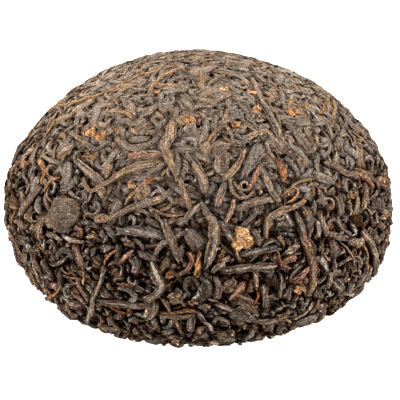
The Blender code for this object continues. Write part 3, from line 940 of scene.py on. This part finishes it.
class Tree:
    """A node tree with short ways to the nodes that it uses most."""

    def __init__(self, tree):
        self.tree = tree

    def join(self, value, socket):
        """Link a node's output to a socket, or set the socket to a plain value."""
        if isinstance(value, Value):
            self.tree.links.new(value.socket, socket)
        elif value is not None:
            socket.default_value = value

    def add(self, kind, settings=None, **inputs):
        """Add a node and return its outputs by number and by name.

        Settings are its properties. Inputs go by name, or by number after an underscore.
        """
        node = self.tree.nodes.new(kind)
        for key, value in (settings or {}).items():
            setattr(node, key, value)
        for key, value in inputs.items():
            place = int(key[1:]) if key[0] == "_" else key.replace("_", " ").strip()
            self.join(value, node.inputs[place])
        outputs = {}
        for number, socket in enumerate(node.outputs):
            outputs[number] = Value(self, socket)
            outputs.setdefault(socket.name, outputs[number])
        return outputs

    def less_than(self, a, b):
        """Whether one number is less than another."""
        settings = {"data_type": "FLOAT", "operation": "LESS_THAN"}
        return self.add("FunctionNodeCompare", settings, A=a, B=b)[0]

    def logic(self, operation, a, b):
        """Both, or one, of two answers."""
        return self.add("FunctionNodeBooleanMath", {"operation": operation}, _0=a, _1=b)[0]

    def map_range(self, value, start, end, low=0.0, high=1.0, kind="LINEAR"):
        """A number carried from one range to another and held inside it."""
        return self.add("ShaderNodeMapRange", {"interpolation_type": kind}, Value=value,
                        _1=start, _2=end, _3=low, _4=high)[0]

    def blend(self, share, a, b):
        """A number between two others."""
        return self.add("ShaderNodeMix", {"data_type": "FLOAT"}, _0=share, _2=a, _3=b)[0]

    def noise(self, place, scale, detail=1.0, roughness=0.5):
        """A Noise Texture's outputs: value and colour."""
        return self.add("ShaderNodeTexNoise", {"noise_dimensions": "3D"}, Vector=place,
                        Scale=scale, Detail=detail, Roughness=roughness)

    def parts(self, vector):
        """A vector's X, Y and Z."""
        return self.add("ShaderNodeSeparateXYZ", Vector=vector)

    def named(self, name, kind="FLOAT"):
        """What a mesh stores under a name, for Geometry Nodes."""
        return self.add("GeometryNodeInputNamedAttribute", {"data_type": kind},
                        Name=name)["Attribute"]

    def store(self, geometry, name, value, kind="FLOAT"):
        """The geometry with a value stored at each point."""
        return self.add("GeometryNodeStoreNamedAttribute", {"data_type": kind, "domain": "POINT"},
                        Geometry=geometry, Name=name, Value=value)[0]

    def attribute(self, name):
        """What a mesh stores under a name, for a finish."""
        return self.add("ShaderNodeAttribute", {"attribute_name": name})["Fac"]

    def ramp(self, value, stops):
        """A colour looked up between stops."""
        colour = self.add("ShaderNodeValToRGB", Fac=value)[0]
        band = colour.socket.node.color_ramp.elements
        for i, (position, stop_colour) in enumerate(stops):
            stop = band[i] if i < 2 else band.new(position)
            stop.position, stop.color = position, (*stop_colour, 1.0)
        return colour

    def mix(self, share, a, b, way="MIX"):
        """Two colours mixed, or multiplied, by a share."""
        a, b = ((*c, 1.0) if isinstance(c, tuple) else c for c in (a, b))
        return self.add("ShaderNodeMix", {"data_type": "RGBA", "blend_type": way}, _0=share,
                        _6=a, _7=b)[2]


# %% The tree's sockets
SCATTER_INPUTS = (
    ("Spacing", "Float", 0.003),
    ("Seed", "Int", 1),
    ("Patterns", "Collection", None),
    ("Above", "Collection", None),
    ("Smallest", "Float", 0.8),
    ("Largest", "Float", 1.2),
    ("Darkest", "Float", 0.0),
    ("Palest", "Float", 1.0),
    ("Sunk", "Float", 0.0004),
    ("Level", "Float", 0.001),
    ("Room", "Float", 0.0009),
    ("Gap Depth", "Float", 0.0),
    ("Crinkle", "Float", 0.0006),
    ("Crinkle Scale", "Float", 900.0),
    ("Lowest", "Float", 0.0),
    ("Drift", "Float", 0.0007),
    ("Loose", "Float", 1.05),
    ("Pressed", "Float", 0.27),
    ("Finish", "Material", None),
)
RAY_START = 4.0 * MM
PRESSED_FROM, PRESSED_FULLY = 21.0 * MM, 39.0 * MM
TABLE_GAP = 0.02 * MM
# Depths over which deeper leaf gets painted shade, and how much of it shows at the crown
DEPTH_SHADE_FROM, DEPTH_SHADE_AT = 0.4 * MM, 0.9 * MM
CROWN_DEPTH_SHADE = 0.5
CROWN_EVENNESS, CROWN_TONE, CROWN_HUE = 0.62, 0.39, 0.40
REDDEST = 0.85
CEILING_BLUR, CEILING_GIVE = 5, 0.3 * MM
DRIFT_SCALE = 450.0


# %% The part of the tree that measures the ceiling over a position
def ceiling_over(tree, given, above, position):
    """The mould's nearest point and outward direction, and the height that a leaf can rise to."""
    foot = tree.add("GeometryNodeProximity", {"target_element": "FACES"}, _0=given["Geometry"],
                    Sample_Position=position)["Position"]
    up = tree.add("GeometryNodeSampleNearestSurface", {"data_type": "FLOAT_VECTOR"},
                  Mesh=given["Geometry"], Value=tree.named("outward", "FLOAT_VECTOR"),
                  Sample_Position=position)[0]

    def ray(way):
        """Along up or against it: whether it hits a leaf, and how far past the mould."""
        hit = tree.add("GeometryNodeRaycast", Target_Geometry=above, Ray_Direction=up * way,
                       Source_Position=foot + up * (-way * RAY_START), Ray_Length=2 * RAY_START)
        return hit["Is Hit"], hit["Hit Distance"] - RAY_START

    is_above, found = ray(1.0)
    _, past = ray(-1.0)
    shallow = tree.less_than(past + given["Level"], given["Room"])
    ceiling = tree.add("GeometryNodeSwitch", {"input_type": "FLOAT"}, True_=found,
                       False_=given["Level"], Switch=tree.logic("AND", is_above, shallow))[0]
    return foot, up, ceiling.maths("MINIMUM", given["Level"])


# %% The tree
def build_press_tree():
    """Scatter patterns over the mould and press them in behind what lies above."""
    group = bpy.data.node_groups.new("press_leaves", "GeometryNodeTree")
    group.is_modifier = True
    for way in ("INPUT", "OUTPUT"):
        group.interface.new_socket("Geometry", in_out=way, socket_type="NodeSocketGeometry")
    for name, kind, value in SCATTER_INPUTS:
        socket = group.interface.new_socket(name, in_out="INPUT",
                                            socket_type=f"NodeSocket{kind}")
        if value is not None:
            socket.default_value = value
    tree = Tree(group)
    given = tree.add("NodeGroupInput")
    place = tree.add("GeometryNodeInputPosition")[0]
    over = tree.add("GeometryNodeCollectionInfo", Collection=given["Above"])[0]
    above = tree.add("GeometryNodeRealizeInstances", Geometry=over)[0]

    def chance(low, high, salt):
        """A number of its own for each point; salt keeps the draws apart."""
        return tree.add("FunctionNodeRandomValue", {"data_type": "FLOAT"}, _2=low, _3=high,
                        Seed=given["Seed"] + salt)[1]

    # Points in the gaps, each with its own turn, tone, hue, size and depth
    spread = tree.add("GeometryNodeDistributePointsOnFaces", {"distribute_method": "POISSON"},
                      Mesh=given["Geometry"], Distance_Min=given["Spacing"], Density_Max=1.0e7,
                      Seed=given["Seed"])
    _, _, open_height = ceiling_over(tree, given, above, place)
    spot_height = tree.parts(place)[2]
    evenness = tree.map_range(spot_height, PRESSED_FROM, PRESSED_FULLY, 0.0, CROWN_EVENNESS)
    own_tone = chance(given["Darkest"], given["Palest"], 100)
    points = spread["Points"]
    for name, kind, value in (
            ("turned_by", "QUATERNION", spread["Rotation"]),
            ("root_up", "FLOAT_VECTOR", spread["Normal"]),
            ("root", "FLOAT_VECTOR", place),
            ("tone", "FLOAT", tree.blend(evenness, own_tone, CROWN_TONE)),
            ("hue", "FLOAT", tree.blend(evenness, chance(0.0, REDDEST, 200), CROWN_HUE)),
            ("size", "FLOAT", chance(given["Smallest"], given["Largest"], 300)),
            ("sunk", "FLOAT", chance(0.0, given["Sunk"], 400))):
        points = tree.store(points, name, value, kind)
    covered = tree.less_than(open_height, given["Gap Depth"])
    too_low = tree.less_than(spot_height, given["Lowest"])
    kept = tree.add("GeometryNodeDeleteGeometry", {"domain": "POINT"}, Geometry=points,
                    Selection=tree.logic("OR", covered, too_low))[0]

    # A pattern on each point, turned about the surface
    pick = tree.add("FunctionNodeRandomValue", {"data_type": "INT"}, _4=0, _5=9999,
                    Seed=given["Seed"] + 500)[2]
    patterns = tree.add("GeometryNodeCollectionInfo", Collection=given["Patterns"],
                        Separate_Children=True, Reset_Children=True)[0]
    about_up = tree.add("FunctionNodeAxisAngleToRotation", Axis=(0.0, 0.0, 1.0),
                        Angle=chance(0.0, 2 * math.pi, 600))[0]
    turned = tree.add("FunctionNodeRotateRotation", {"rotation_space": "LOCAL"},
                      Rotation=tree.named("turned_by", "QUATERNION"), Rotate_By=about_up)[0]
    placed = tree.add("GeometryNodeInstanceOnPoints", Points=kept, Instance=patterns,
                      Pick_Instance=True, Instance_Index=pick, Rotation=turned,
                      Scale=tree.named("size"))[0]
    shape = tree.add("GeometryNodeRealizeInstances", Geometry=placed)[0]

    # How deep each vertex lies when its leaf is wrapped just under the ceiling
    up = tree.named("root_up", "FLOAT_VECTOR")
    height = (place - tree.named("root", "FLOAT_VECTOR")).maths("DOT_PRODUCT", up)
    foot, outward, ceiling = ceiling_over(tree, given, above, place - up * height)
    blurred = tree.add("GeometryNodeBlurAttribute", {"data_type": "FLOAT"}, Value=ceiling,
                       Iterations=CEILING_BLUR)[0]
    held = blurred.maths("MINIMUM", ceiling + CEILING_GIVE)
    below = tree.named("crown") * tree.named("size") + tree.named("sunk")
    uneven = (tree.noise(place, given["Crinkle Scale"])[0] - 0.5) * given["Crinkle"]
    deep = given["Level"] - ((held - below) + (height + uneven))
    shape = tree.store(shape, "sinking", deep)

    # Press: hardest at the crown, painted shade where deep, nothing through the table
    sinking, foot_height = tree.named("sinking"), tree.parts(foot)[2]
    pressed = tree.map_range(foot_height, PRESSED_FROM, PRESSED_FULLY, given["Loose"],
                             given["Pressed"])
    # Painted shade for the finish, by how deep each vertex lies, weaker at the crown
    shown = tree.map_range(foot_height, PRESSED_FROM, PRESSED_FULLY, 1.0, CROWN_DEPTH_SHADE)
    shape = tree.store(shape, "buried", tree.map_range(sinking, DEPTH_SHADE_FROM, DEPTH_SHADE_AT) * shown)
    moved = foot + outward * (given["Level"] - sinking * pressed)
    sway = tree.noise(place, DRIFT_SCALE)[1] - (0.5, 0.5, 0.5)
    end = tree.parts(moved + sway * given["Drift"])
    final = tree.add("ShaderNodeCombineXYZ", X=end[0], Y=end[1],
                     Z=end[2].maths("MAXIMUM", TABLE_GAP))[0]
    shape = tree.add("GeometryNodeSetPosition", Geometry=shape, Position=final)[0]
    shape = tree.add("GeometryNodeSetShadeSmooth", Geometry=shape)[0]
    shape = tree.add("GeometryNodeSetMaterial", Geometry=shape, Material=given["Finish"])[0]
    tree.join(shape, group.nodes.new("NodeGroupOutput").inputs[0])
    return group


press_tree = build_press_tree()
print("tree nodes:", len(press_tree.nodes))

# %% [markdown]
# ## Finishes
#
# Ripe tea is dark brown, but hardly any two leaves are the same brown: old leaf is nearly
# black, stems and coarse leaf are tan, young tips are gold. Every leaf carries a tone from
# dark to pale, which a colour ramp turns into that leaf's brown, and a hue, which tints it
# from slate through ochre to rust. The leaf is matt, and its sheen is painted into its colour:
# dust, and a pale look on ridges that face up, which is partly rubbed wear and partly painted
# highlight. Two effects are shared by all finishes and are built once as node groups: the
# grain that runs along a leaf, and that pale look of its ridges. Furrows, the sides and
# undersides of strands, creases and deeply lying leaf are darkened with painted shade, by
# multiplying with a deep brown, which keeps them warm, as mixing with black would not.


# %% Leaf grain: creases that run along the leaf, wrinkles across it and fine grit
GRIT_SCALE, SPECK_SCALE, PATCH_SCALE = 2200.0, 3000.0, 320.0
CROWN_GRAIN = 0.42
LEAF_APART = 91.0


def shader_group(name, inputs, outputs):
    """A shader group with number sockets: its tree, its inputs and its output sockets."""
    group = bpy.data.node_groups.new(name, "ShaderNodeTree")
    for way, names in (("INPUT", inputs), ("OUTPUT", outputs)):
        for socket_name in names:
            socket = group.interface.new_socket(socket_name, in_out=way,
                                                socket_type="NodeSocketFloat")
            if way == "INPUT":
                socket.default_value = inputs[socket_name]
    tree = Tree(group)
    return tree, tree.add("NodeGroupInput"), group.nodes.new("NodeGroupOutput").inputs


def build_grain_group():
    """Height, streaks, creases with their painted shade, patches and shade of a leaf's skin, calmer
    at the crown.
    """
    tree, given, results = shader_group(
        "leaf_grain", {"Lines": 5.0, "Crumple": 900.0},
        ("Height", "Streak", "Crease Shade", "Patch", "Shade", "Strength"))
    leaf_map = tree.parts(tree.add("ShaderNodeUVMap", {"uv_map": "leaf_map"})[0])
    turn = leaf_map[1] * (2 * math.pi)
    girth = given["Lines"].maths("DIVIDE", 2 * math.pi) * tree.attribute("girth")
    own_place = tree.attribute("tone") * LEAF_APART

    def along_leaf(lengthwise, fineness, detail):
        """Noise stretched along the leaf and wrapped round it without a seam."""
        around = girth * fineness
        where = tree.add("ShaderNodeCombineXYZ", X=leaf_map[0] * lengthwise,
                         Y=turn.maths("COSINE") * around,
                         Z=turn.maths("SINE") * around + own_place)[0]
        return tree.noise(where, 1.0, detail)[0]

    def crease_lines(value, width, strength):
        """Thin lines where a noise passes its middle."""
        off_middle = (value - 0.5).maths("ABSOLUTE")
        return tree.map_range(off_middle, 0.0, width, 1.0, 0.0, "SMOOTHSTEP") * strength

    lines, wrinkles = along_leaf(1.8, 1.0, 1.0), along_leaf(7.0, 1.5, 2.0)
    spot = tree.add("ShaderNodeTexCoord")["Object"]
    crumpled = tree.noise(spot, given["Crumple"], 2.0, 0.55)[0]
    grit = tree.noise(spot, GRIT_SCALE)[0]
    speck = tree.noise(spot, SPECK_SCALE, 0.0)[0]
    # Crease lines sink the bump, and in the colour they are painted shade
    crease = crease_lines(wrinkles, 0.07, 0.9)
    for value, width, strength in ((crumpled, 0.07, 0.7), (lines, 0.10, 0.95),
                                   (grit, 0.06, 0.45)):
        crease = crease.maths("MAXIMUM", crease_lines(value, width, strength))
    streak = lines * 0.35 + wrinkles * 0.40 + grit * 0.25
    strength = tree.map_range(tree.parts(spot)[2], PRESSED_FROM, PRESSED_FULLY, 1.0, CROWN_GRAIN)
    light = tree.map_range(streak, 0.40, 0.60, 0.56, 1.10)
    dusty = tree.map_range(speck, 0.32, 0.68, 0.45, 1.31)
    for name, value in (
            ("Height", lines * 0.6 + wrinkles * 0.4 + grit * 0.4 - crease * 0.5),
            ("Streak", streak),
            ("Crease Shade", crease * strength),
            ("Patch", tree.noise(spot, PATCH_SCALE)[0]),
            ("Shade", tree.blend(strength, 1.0, light * dusty)),
            ("Strength", strength)):
        tree.join(value, results[name])
    return tree.tree


# %% Rubbed ridges: a pale mask on whatever stands proud and faces up, partly wear and partly painted highlight
def build_rub_highlight_group():
    """How far a spot is rubbed pale, partly as wear and partly as painted highlight."""
    tree, given, results = shader_group("rubbed_and_highlit_ridges", {"Streak": 0.5, "Amount": 0.5},
                                        ("Mask",))
    both = tree.attribute("ridge") + (given["Streak"] - 0.5)
    mask = tree.map_range(both, 0.5, 1.0, kind="SMOOTHSTEP")
    tree.join(mask * given["Amount"], results["Mask"])
    return tree.tree


grain_group, rub_highlight_group = build_grain_group(), build_rub_highlight_group()

# %% One finish for each kind of leaf
LEAF_TINTS = (
    (0.0, (0.84, 0.88, 0.93)),
    (0.28, (0.95, 0.98, 0.98)),
    (0.48, (1.06, 1.00, 0.89)),
    (0.66, (1.15, 0.98, 0.75)),
    (0.80, (1.14, 0.91, 0.80)),
    (1.0, (1.20, 0.83, 0.69)),
)
WHITE = (1.0, 1.0, 1.0)
# Deep browns that paint shade into furrows, strand sides, creases and deeply lying leaf
CREASE_SHADE_TINT = (0.10, 0.036, 0.012)
DEPTH_SHADE_TINT = (0.085, 0.027, 0.008)
HUE_WANDER = 0.7
FURROW_SHADE, CREASE_SHADE = 0.88, 0.95
RELIEF = 1.3 * MM


def leaf_finish(name, stops, rub_highlight_colour, rub_highlight, lines=5.0):
    """A dull leaf whose brown comes from its own tone, with streaks, rubbed ridges that carry
    painted highlight, and painted shade in furrows, creases and deep leaf.
    """
    material = bpy.data.materials.new(name)
    material.use_nodes = True
    tree = Tree(material.node_tree)
    shader = material.node_tree.nodes["Principled BSDF"].inputs
    grain = tree.add("ShaderNodeGroup", {"node_tree": grain_group}, Lines=lines)
    hue = tree.attribute("hue") + (grain["Patch"] - 0.5) * HUE_WANDER
    tint = tree.ramp(hue, LEAF_TINTS)
    # Painted shade: dark in furrows and on strands' sides and undersides, where the ridge value is
    # low, and along crease lines
    furrow_shade = tree.map_range(tree.attribute("ridge"), 0.0, 0.5, FURROW_SHADE, 0.0)
    deep = furrow_shade.maths("MAXIMUM", grain["Crease Shade"] * CREASE_SHADE)
    colour = tree.ramp(tree.attribute("tone"), stops)
    # The brown is multiplied by its tint, the painted shade of furrows and creases, the painted
    # shade of deep leaf, and the grain
    for shade in (tint, tree.mix(deep, WHITE, CREASE_SHADE_TINT),
                  tree.mix(tree.attribute("buried"), WHITE, DEPTH_SHADE_TINT), grain["Shade"]):
        colour = tree.mix(1.0, colour, shade, "MULTIPLY")
    # Pale mask on upward ridges, partly rubbed wear and partly painted highlight
    rub_and_light = tree.add("ShaderNodeGroup", {"node_tree": rub_highlight_group}, Streak=grain["Streak"],
                      Amount=grain["Strength"] * rub_highlight)["Mask"]
    colour = tree.mix(rub_and_light, colour, tree.mix(1.0, rub_highlight_colour, tint, "MULTIPLY"))
    tree.join(colour, shader["Base Color"])
    tree.join(tree.map_range(grain["Streak"], 0.3, 0.7, 0.60, 0.80), shader["Roughness"])
    tree.join(tree.add("ShaderNodeBump", Height=grain["Height"], Strength=1.0,
                       Distance=RELIEF)[0], shader["Normal"])
    tree.join(0.0, shader["Specular IOR Level"])
    return material


LEAF_BROWNS = (
    (0.0, (0.092, 0.066, 0.050)),
    (0.35, (0.154, 0.118, 0.093)),
    (0.70, (0.198, 0.161, 0.132)),
    (0.92, (0.224, 0.185, 0.155)),
    (1.0, (0.260, 0.222, 0.187)),
)
# Nearly black: the bed's browns are painted shade for the gaps between leaves
UNDER_SHADE_BROWNS = (
    (0.0, (0.014, 0.006, 0.002)),
    (0.5, (0.030, 0.014, 0.006)),
    (1.0, (0.070, 0.038, 0.020)),
)
STEM_BROWNS = (
    (0.0, (0.110, 0.066, 0.036)),
    (0.6, (0.220, 0.142, 0.083)),
    (1.0, (0.390, 0.270, 0.165)),
)
TIP_GOLDS = (
    (0.0, (0.160, 0.078, 0.036)),
    (0.5, (0.186, 0.106, 0.057)),
    (0.88, (0.400, 0.250, 0.140)),
    (1.0, (0.600, 0.410, 0.250)),
)
CRUMB_BROWNS = (
    (0.0, (0.060, 0.038, 0.026)),
    (0.6, (0.165, 0.114, 0.080)),
    (0.92, (0.220, 0.160, 0.112)),
    (1.0, (0.330, 0.208, 0.112)),
)
# The pale of rubbed ridges, partly wear and partly painted highlight
PALE_RUB_AND_HIGHLIGHT = (0.238, 0.199, 0.164)

leaf_brown = leaf_finish("rolled_leaf", LEAF_BROWNS, PALE_RUB_AND_HIGHLIGHT, 0.45)
leaf_under_shade = leaf_finish("packed_leaf_painted_shade", UNDER_SHADE_BROWNS, PALE_RUB_AND_HIGHLIGHT, 0.05)
stem_tan = leaf_finish("stem_tan", STEM_BROWNS, (0.38, 0.27, 0.17), 0.4, lines=7.0)
tip_gold = leaf_finish("golden_tip", TIP_GOLDS, (0.40, 0.26, 0.145), 0.4, lines=6.0)
crumb_mix = leaf_finish("leaf_crumb", CRUMB_BROWNS, PALE_RUB_AND_HIGHLIGHT, 0.4, lines=6.0)
print("finishes:", [m.name for m in (leaf_brown, leaf_under_shade, stem_tan, tip_gold, crumb_mix)])

# %% [markdown]
# ## The bed
#
# Between the leaves the eye looks into packed leaf that gets no light. It needs real depth,
# so that the leaves above cast shadows into it, but no leaf in it can be made out. A turned
# mesh under the mould does it, displaced by a ridged noise as coarse as the leaves. It rises
# towards the crown, where the leaves are pressed flattest and leave the least depth. Its
# brown is painted nearly black, darker than any leaf, as painted shade in the gaps.

# %% Make the bed
BED_DEPTH = 2.9 * MM
BED_AROUND = 220
BED_STEPS = (50, 20, 5, 34)
LUMP_SIZE, GRAIN_SIZE, TONE_SIZE = 3.2 * MM, 1.1 * MM, 4 * MM
CROWN_RISE = 1.3 * MM
CALM_BELOW = 1.5 * MM


def crumple(point):
    """Relief of packed leaf: ridges a leaf apart with finer ones on them."""
    coarse = 1 - abs(noise.noise(point / LUMP_SIZE)) * 2.2
    fine = noise.noise(point / GRAIN_SIZE)
    raised = min(max((point.z - PRESSED_FROM) / (PRESSED_FULLY - PRESSED_FROM), 0.0), 1.0)
    relief = (coarse * 0.45 * MM + fine * 0.22 * MM) * min(point.z / CALM_BELOW, 1.0)
    return raised * CROWN_RISE + relief


bed_mesh = turned_mesh("packed_bed", BED_DEPTH, BED_AROUND, BED_STEPS, crumple)
bed = add_object("packed_bed", bed_mesh)
bed_tones = [0.5 + 0.8 * noise.noise(v.co / TONE_SIZE) for v in bed_mesh.vertices]
give_values(bed_mesh, "tone", bed_tones)
give_values(bed_mesh, "hue", bed_tones)
give_values(bed_mesh, "ridge", [0.5 + 0.5 * noise.noise(v.co / GRAIN_SIZE)
                                for v in bed_mesh.vertices])
give_values(bed_mesh, "girth", [1.0] * len(bed_tones))
bed_map = bed_mesh.uv_layers.new(name="leaf_map")
for loop in bed_mesh.loops:
    spot = bed_mesh.vertices[loop.vertex_index].co
    bed_map.data[loop.index].uv = (spot.x * 100 + spot.z * 40, spot.y * 25)
bed_mesh.materials.append(leaf_under_shade)
print("bed faces:", len(bed_mesh.polygons))

# %% [markdown]
# ## Scattering the kinds
#
# The leaves of the photograph are laid first. Then come sixteen rounds of scatter, each of
# which fills the gaps that the ones before it left: stems, flat and folded leaf and the first
# strands at the surface, tips, curls, crumpled and broken leaf further in, and last scraps
# and crumbs. Only the numbers differ, so all rounds share the tree.


# %% Press one kind on to the mould and make it a plain mesh
laid_leaves = bpy.data.collections.new("laid_leaves")


def press_on(patterns, finish, spacing, seed, sizes, tones, sunk, gap_depth, lowest=0.0):
    """Run the tree on the mould with these numbers, lengths in millimetres."""
    carrier = add_object("carrier", mould.data)
    modifier = carrier.modifiers.new("press", "NODES")
    modifier.node_group = press_tree
    (smallest, largest), (darkest, palest) = sizes, tones
    values = {"Spacing": spacing * MM, "Seed": seed, "Patterns": patterns, "Above": laid_leaves,
              "Smallest": smallest, "Largest": largest, "Darkest": darkest, "Palest": palest,
              "Sunk": sunk * MM, "Level": LEVEL, "Gap Depth": gap_depth * MM,
              "Lowest": lowest * MM, "Finish": finish}
    for item in press_tree.interface.items_tree:
        if item.in_out == "INPUT" and item.name in values:
            modifier[item.identifier] = values[item.name]
    graph = bpy.context.evaluated_depsgraph_get()
    mesh = bpy.data.meshes.new_from_object(carrier.evaluated_get(graph))
    bpy.data.objects.remove(carrier, do_unlink=True)
    return mesh


# %% The leaves of the photograph are laid first
pieces = [bed]
for name, leaves, finish in (("marked_leaves", marked_leaves, leaf_brown),
                             ("marked_stems", marked_stems, stem_tan),
                             ("marked_tips", marked_tips, tip_gold)):
    mesh = leaves.build(name)
    # Painted shade on the deeper parts, as the tree gives it to the scattered leaves
    buried = []
    for vertex in mesh.vertices:
        foot, normal, _, _ = mould_tree.find_nearest(vertex.co)
        sinking = LEVEL - (vertex.co - foot).dot(normal)
        buried.append(min(max((sinking - DEPTH_SHADE_FROM) / (DEPTH_SHADE_AT - DEPTH_SHADE_FROM), 0.0), 1.0))
        vertex.co.z = max(vertex.co.z, TABLE_GAP)
    give_values(mesh, "buried", buried)
    mesh.materials.append(finish)
    piece = add_object(name, mesh)
    laid_leaves.objects.link(piece)
    pieces.append(piece)
    print(name, "faces:", len(mesh.polygons))

# %% Then the rounds of the scatter, from the outside in
# Piece, patterns, finish, spacing, sizes, tones, sunk by up to, least open height, and lowest
# place, with lengths in millimetres
ALL_TONES, MIDDLE_TONES, DARK_TONES = (0.05, 1.0), (0.0, 0.8), (0.0, 0.6)
ROUNDS = (
    ("stems", "stem", stem_tan, 19.0, (0.7, 1.0), DARK_TONES, 0.2, 0.6),
    ("flat_leaf", "flat", leaf_brown, 12.0, (0.6, 0.9), DARK_TONES, 0.1, 0.6, 30.0),
    ("folded_leaf", "folded", leaf_brown, 8.5, (0.65, 1.0), DARK_TONES, 0.2, 0.5),
    ("rolled_strands", "rolled", leaf_brown, 7.5, (0.85, 1.2), ALL_TONES, 0.2, 0.6),
    ("curled_strands", "curled", leaf_brown, 12.0, (0.8, 1.1), ALL_TONES, 0.2, 0.6),
    ("rolled_strands", "rolled", leaf_brown, 4.6, (0.8, 1.15), MIDDLE_TONES, 0.1, 0.6, 28.0),
    ("golden_tips", "tip", tip_gold, 27.0, (0.6, 1.0), DARK_TONES, 0.2, 0.6),
    ("rolled_strands", "rolled", leaf_brown, 6.0, (0.75, 1.0), ALL_TONES, 0.3, 0.5),
    ("crumpled_leaf", "crumpled", leaf_brown, 4.6, (0.8, 1.2), MIDDLE_TONES, 0.2, 0.5),
    ("curled_strands", "curled", leaf_brown, 7.0, (0.8, 1.1), ALL_TONES, 0.3, 0.5),
    ("broken_leaf", "broken", leaf_brown, 3.4, (0.8, 1.2), ALL_TONES, 0.3, 0.5),
    ("golden_chips", "flake", tip_gold, 23.0, (0.4, 0.7), MIDDLE_TONES, 0.2, 0.4),
    ("crumpled_leaf", "crumpled", leaf_brown, 3.4, (0.7, 1.1), MIDDLE_TONES, 0.3, 0.3),
    ("broken_leaf", "broken", leaf_brown, 2.8, (0.7, 1.1), ALL_TONES, 0.3, 0.3),
    ("inner_leaf", "scrap", leaf_brown, 1.9, (0.8, 1.2), DARK_TONES, 0.3, 0.1),
    ("crumbs", "crumb", crumb_mix, 1.5, (0.6, 1.2), ALL_TONES, 0.5, 0.0),
)
layers = {}
for number, (name, kind, finish, spacing, *numbers) in enumerate(ROUNDS):
    mesh = press_on(patterns_of[kind], finish, spacing, number + 1, *numbers)
    layer = bpy.data.objects.new(f"{name}_{number}", mesh)
    laid_leaves.objects.link(layer)
    layers.setdefault(name, []).append(layer)
    print(name, "round", number, "faces:", len(mesh.polygons))

# %% Join the rounds of each kind into one piece
for name, parts in layers.items():
    joined = bmesh.new()
    for part in parts:
        joined.from_mesh(part.data)
    mesh = parts[0].data.copy()
    joined.to_mesh(mesh)
    joined.free()
    mesh.name = name
    for helper in ("root", "root_up", "turned_by", "size", "sunk", "sinking", "crown", "outward"):
        if helper in mesh.attributes:
            mesh.attributes.remove(mesh.attributes[helper])
    for part in parts:
        bpy.data.objects.remove(part, do_unlink=True)
    pieces.append(add_object(name, mesh))
    print(name, "triangles:", sum(len(p.vertices) - 2 for p in mesh.polygons))
bpy.data.collections.remove(laid_leaves)

# %% Remove the mould and fasten every piece to the cake
bpy.data.objects.remove(mould, do_unlink=True)
for piece in pieces:
    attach(piece, "root")
    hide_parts("tuocha")
print("pieces:", [piece.name for piece in pieces])

# %% [markdown]
# ## Floor and light
#
# The photograph is lit softly from above and behind, so the crown has a dusty sheen and the
# flank towards the viewer falls into shade. A wide lamp high behind the cake does that, with
# a weaker one in front. Two low lamps at the sides rake along the flanks, which stay bright
# to their edges. The ground of the photograph is plain and nearly white. A floor lit that
# far would throw light up under the cake, so it is a grey floor that glows, and the glow is
# switched on for the camera's rays alone.

# %% Floor
FLOOR_HALF = 3.0
floor_mesh = bpy.data.meshes.new("floor")
corners = [(x * FLOOR_HALF, y * FLOOR_HALF, 0) for x, y in ((-1, -1), (1, -1), (1, 1), (-1, 1))]
floor_mesh.from_pydata(corners, [], [(0, 1, 2, 3)])
floor = add_object("floor", floor_mesh)
floor_paint = bpy.data.materials.new("pale_floor")
floor_paint.use_nodes = True
floor_tree = Tree(floor_paint.node_tree)
floor_shader = floor_paint.node_tree.nodes["Principled BSDF"].inputs
seen = floor_tree.add("ShaderNodeLightPath")["Is Camera Ray"]
for name, value in (("Base Color", (0.30, 0.29, 0.28, 1.0)), ("Roughness", 0.9),
                    ("Specular IOR Level", 0.1), ("Emission Strength", 0.96),
                    ("Emission Color", floor_tree.mix(seen, (0.0, 0.0, 0.0), WHITE))):
    floor_tree.join(value, floor_shader[name])
floor_mesh.materials.append(floor_paint)

# %% Lamps: heading and elevation in degrees, size across in metres, and watts
LAMP_DISTANCE = 1.0
LAMPS = (
    ("key_behind", 100, 26, 0.45, 86.0),
    ("fill_front", -85, 16, 0.35, 27.5),
    ("side_left", -168, 9, 0.30, 64.0),
    ("side_right", -12, 9, 0.30, 69.0),
)
for name, heading, elevation, size, watts in LAMPS:
    data = bpy.data.lights.new(name, "AREA")
    data.size, data.energy = size, watts
    lamp = bpy.data.objects.new(name, data)
    bpy.context.scene.collection.objects.link(lamp)
    around, up = math.radians(heading), math.radians(elevation)
    away = Vector((math.cos(around) * math.cos(up), math.sin(around) * math.cos(up), math.sin(up)))
    lamp.location = waist + away * LAMP_DISTANCE
    lamp.rotation_euler = away.to_track_quat("Z", "Y").to_euler()
print("lamps:", [lamp[0] for lamp in LAMPS])

# %% A faint warm sky, and colours shown as they are
world = bpy.data.worlds.new("studio")
bpy.context.scene.world = world
world.use_nodes = True
sky = world.node_tree.nodes["Background"]
sky.inputs["Color"].default_value = (1.0, 0.88, 0.76, 1.0)
sky.inputs["Strength"].default_value = 0.075
bpy.context.scene.view_settings.view_transform = "Standard"
bpy.context.scene.view_settings.look = "None"
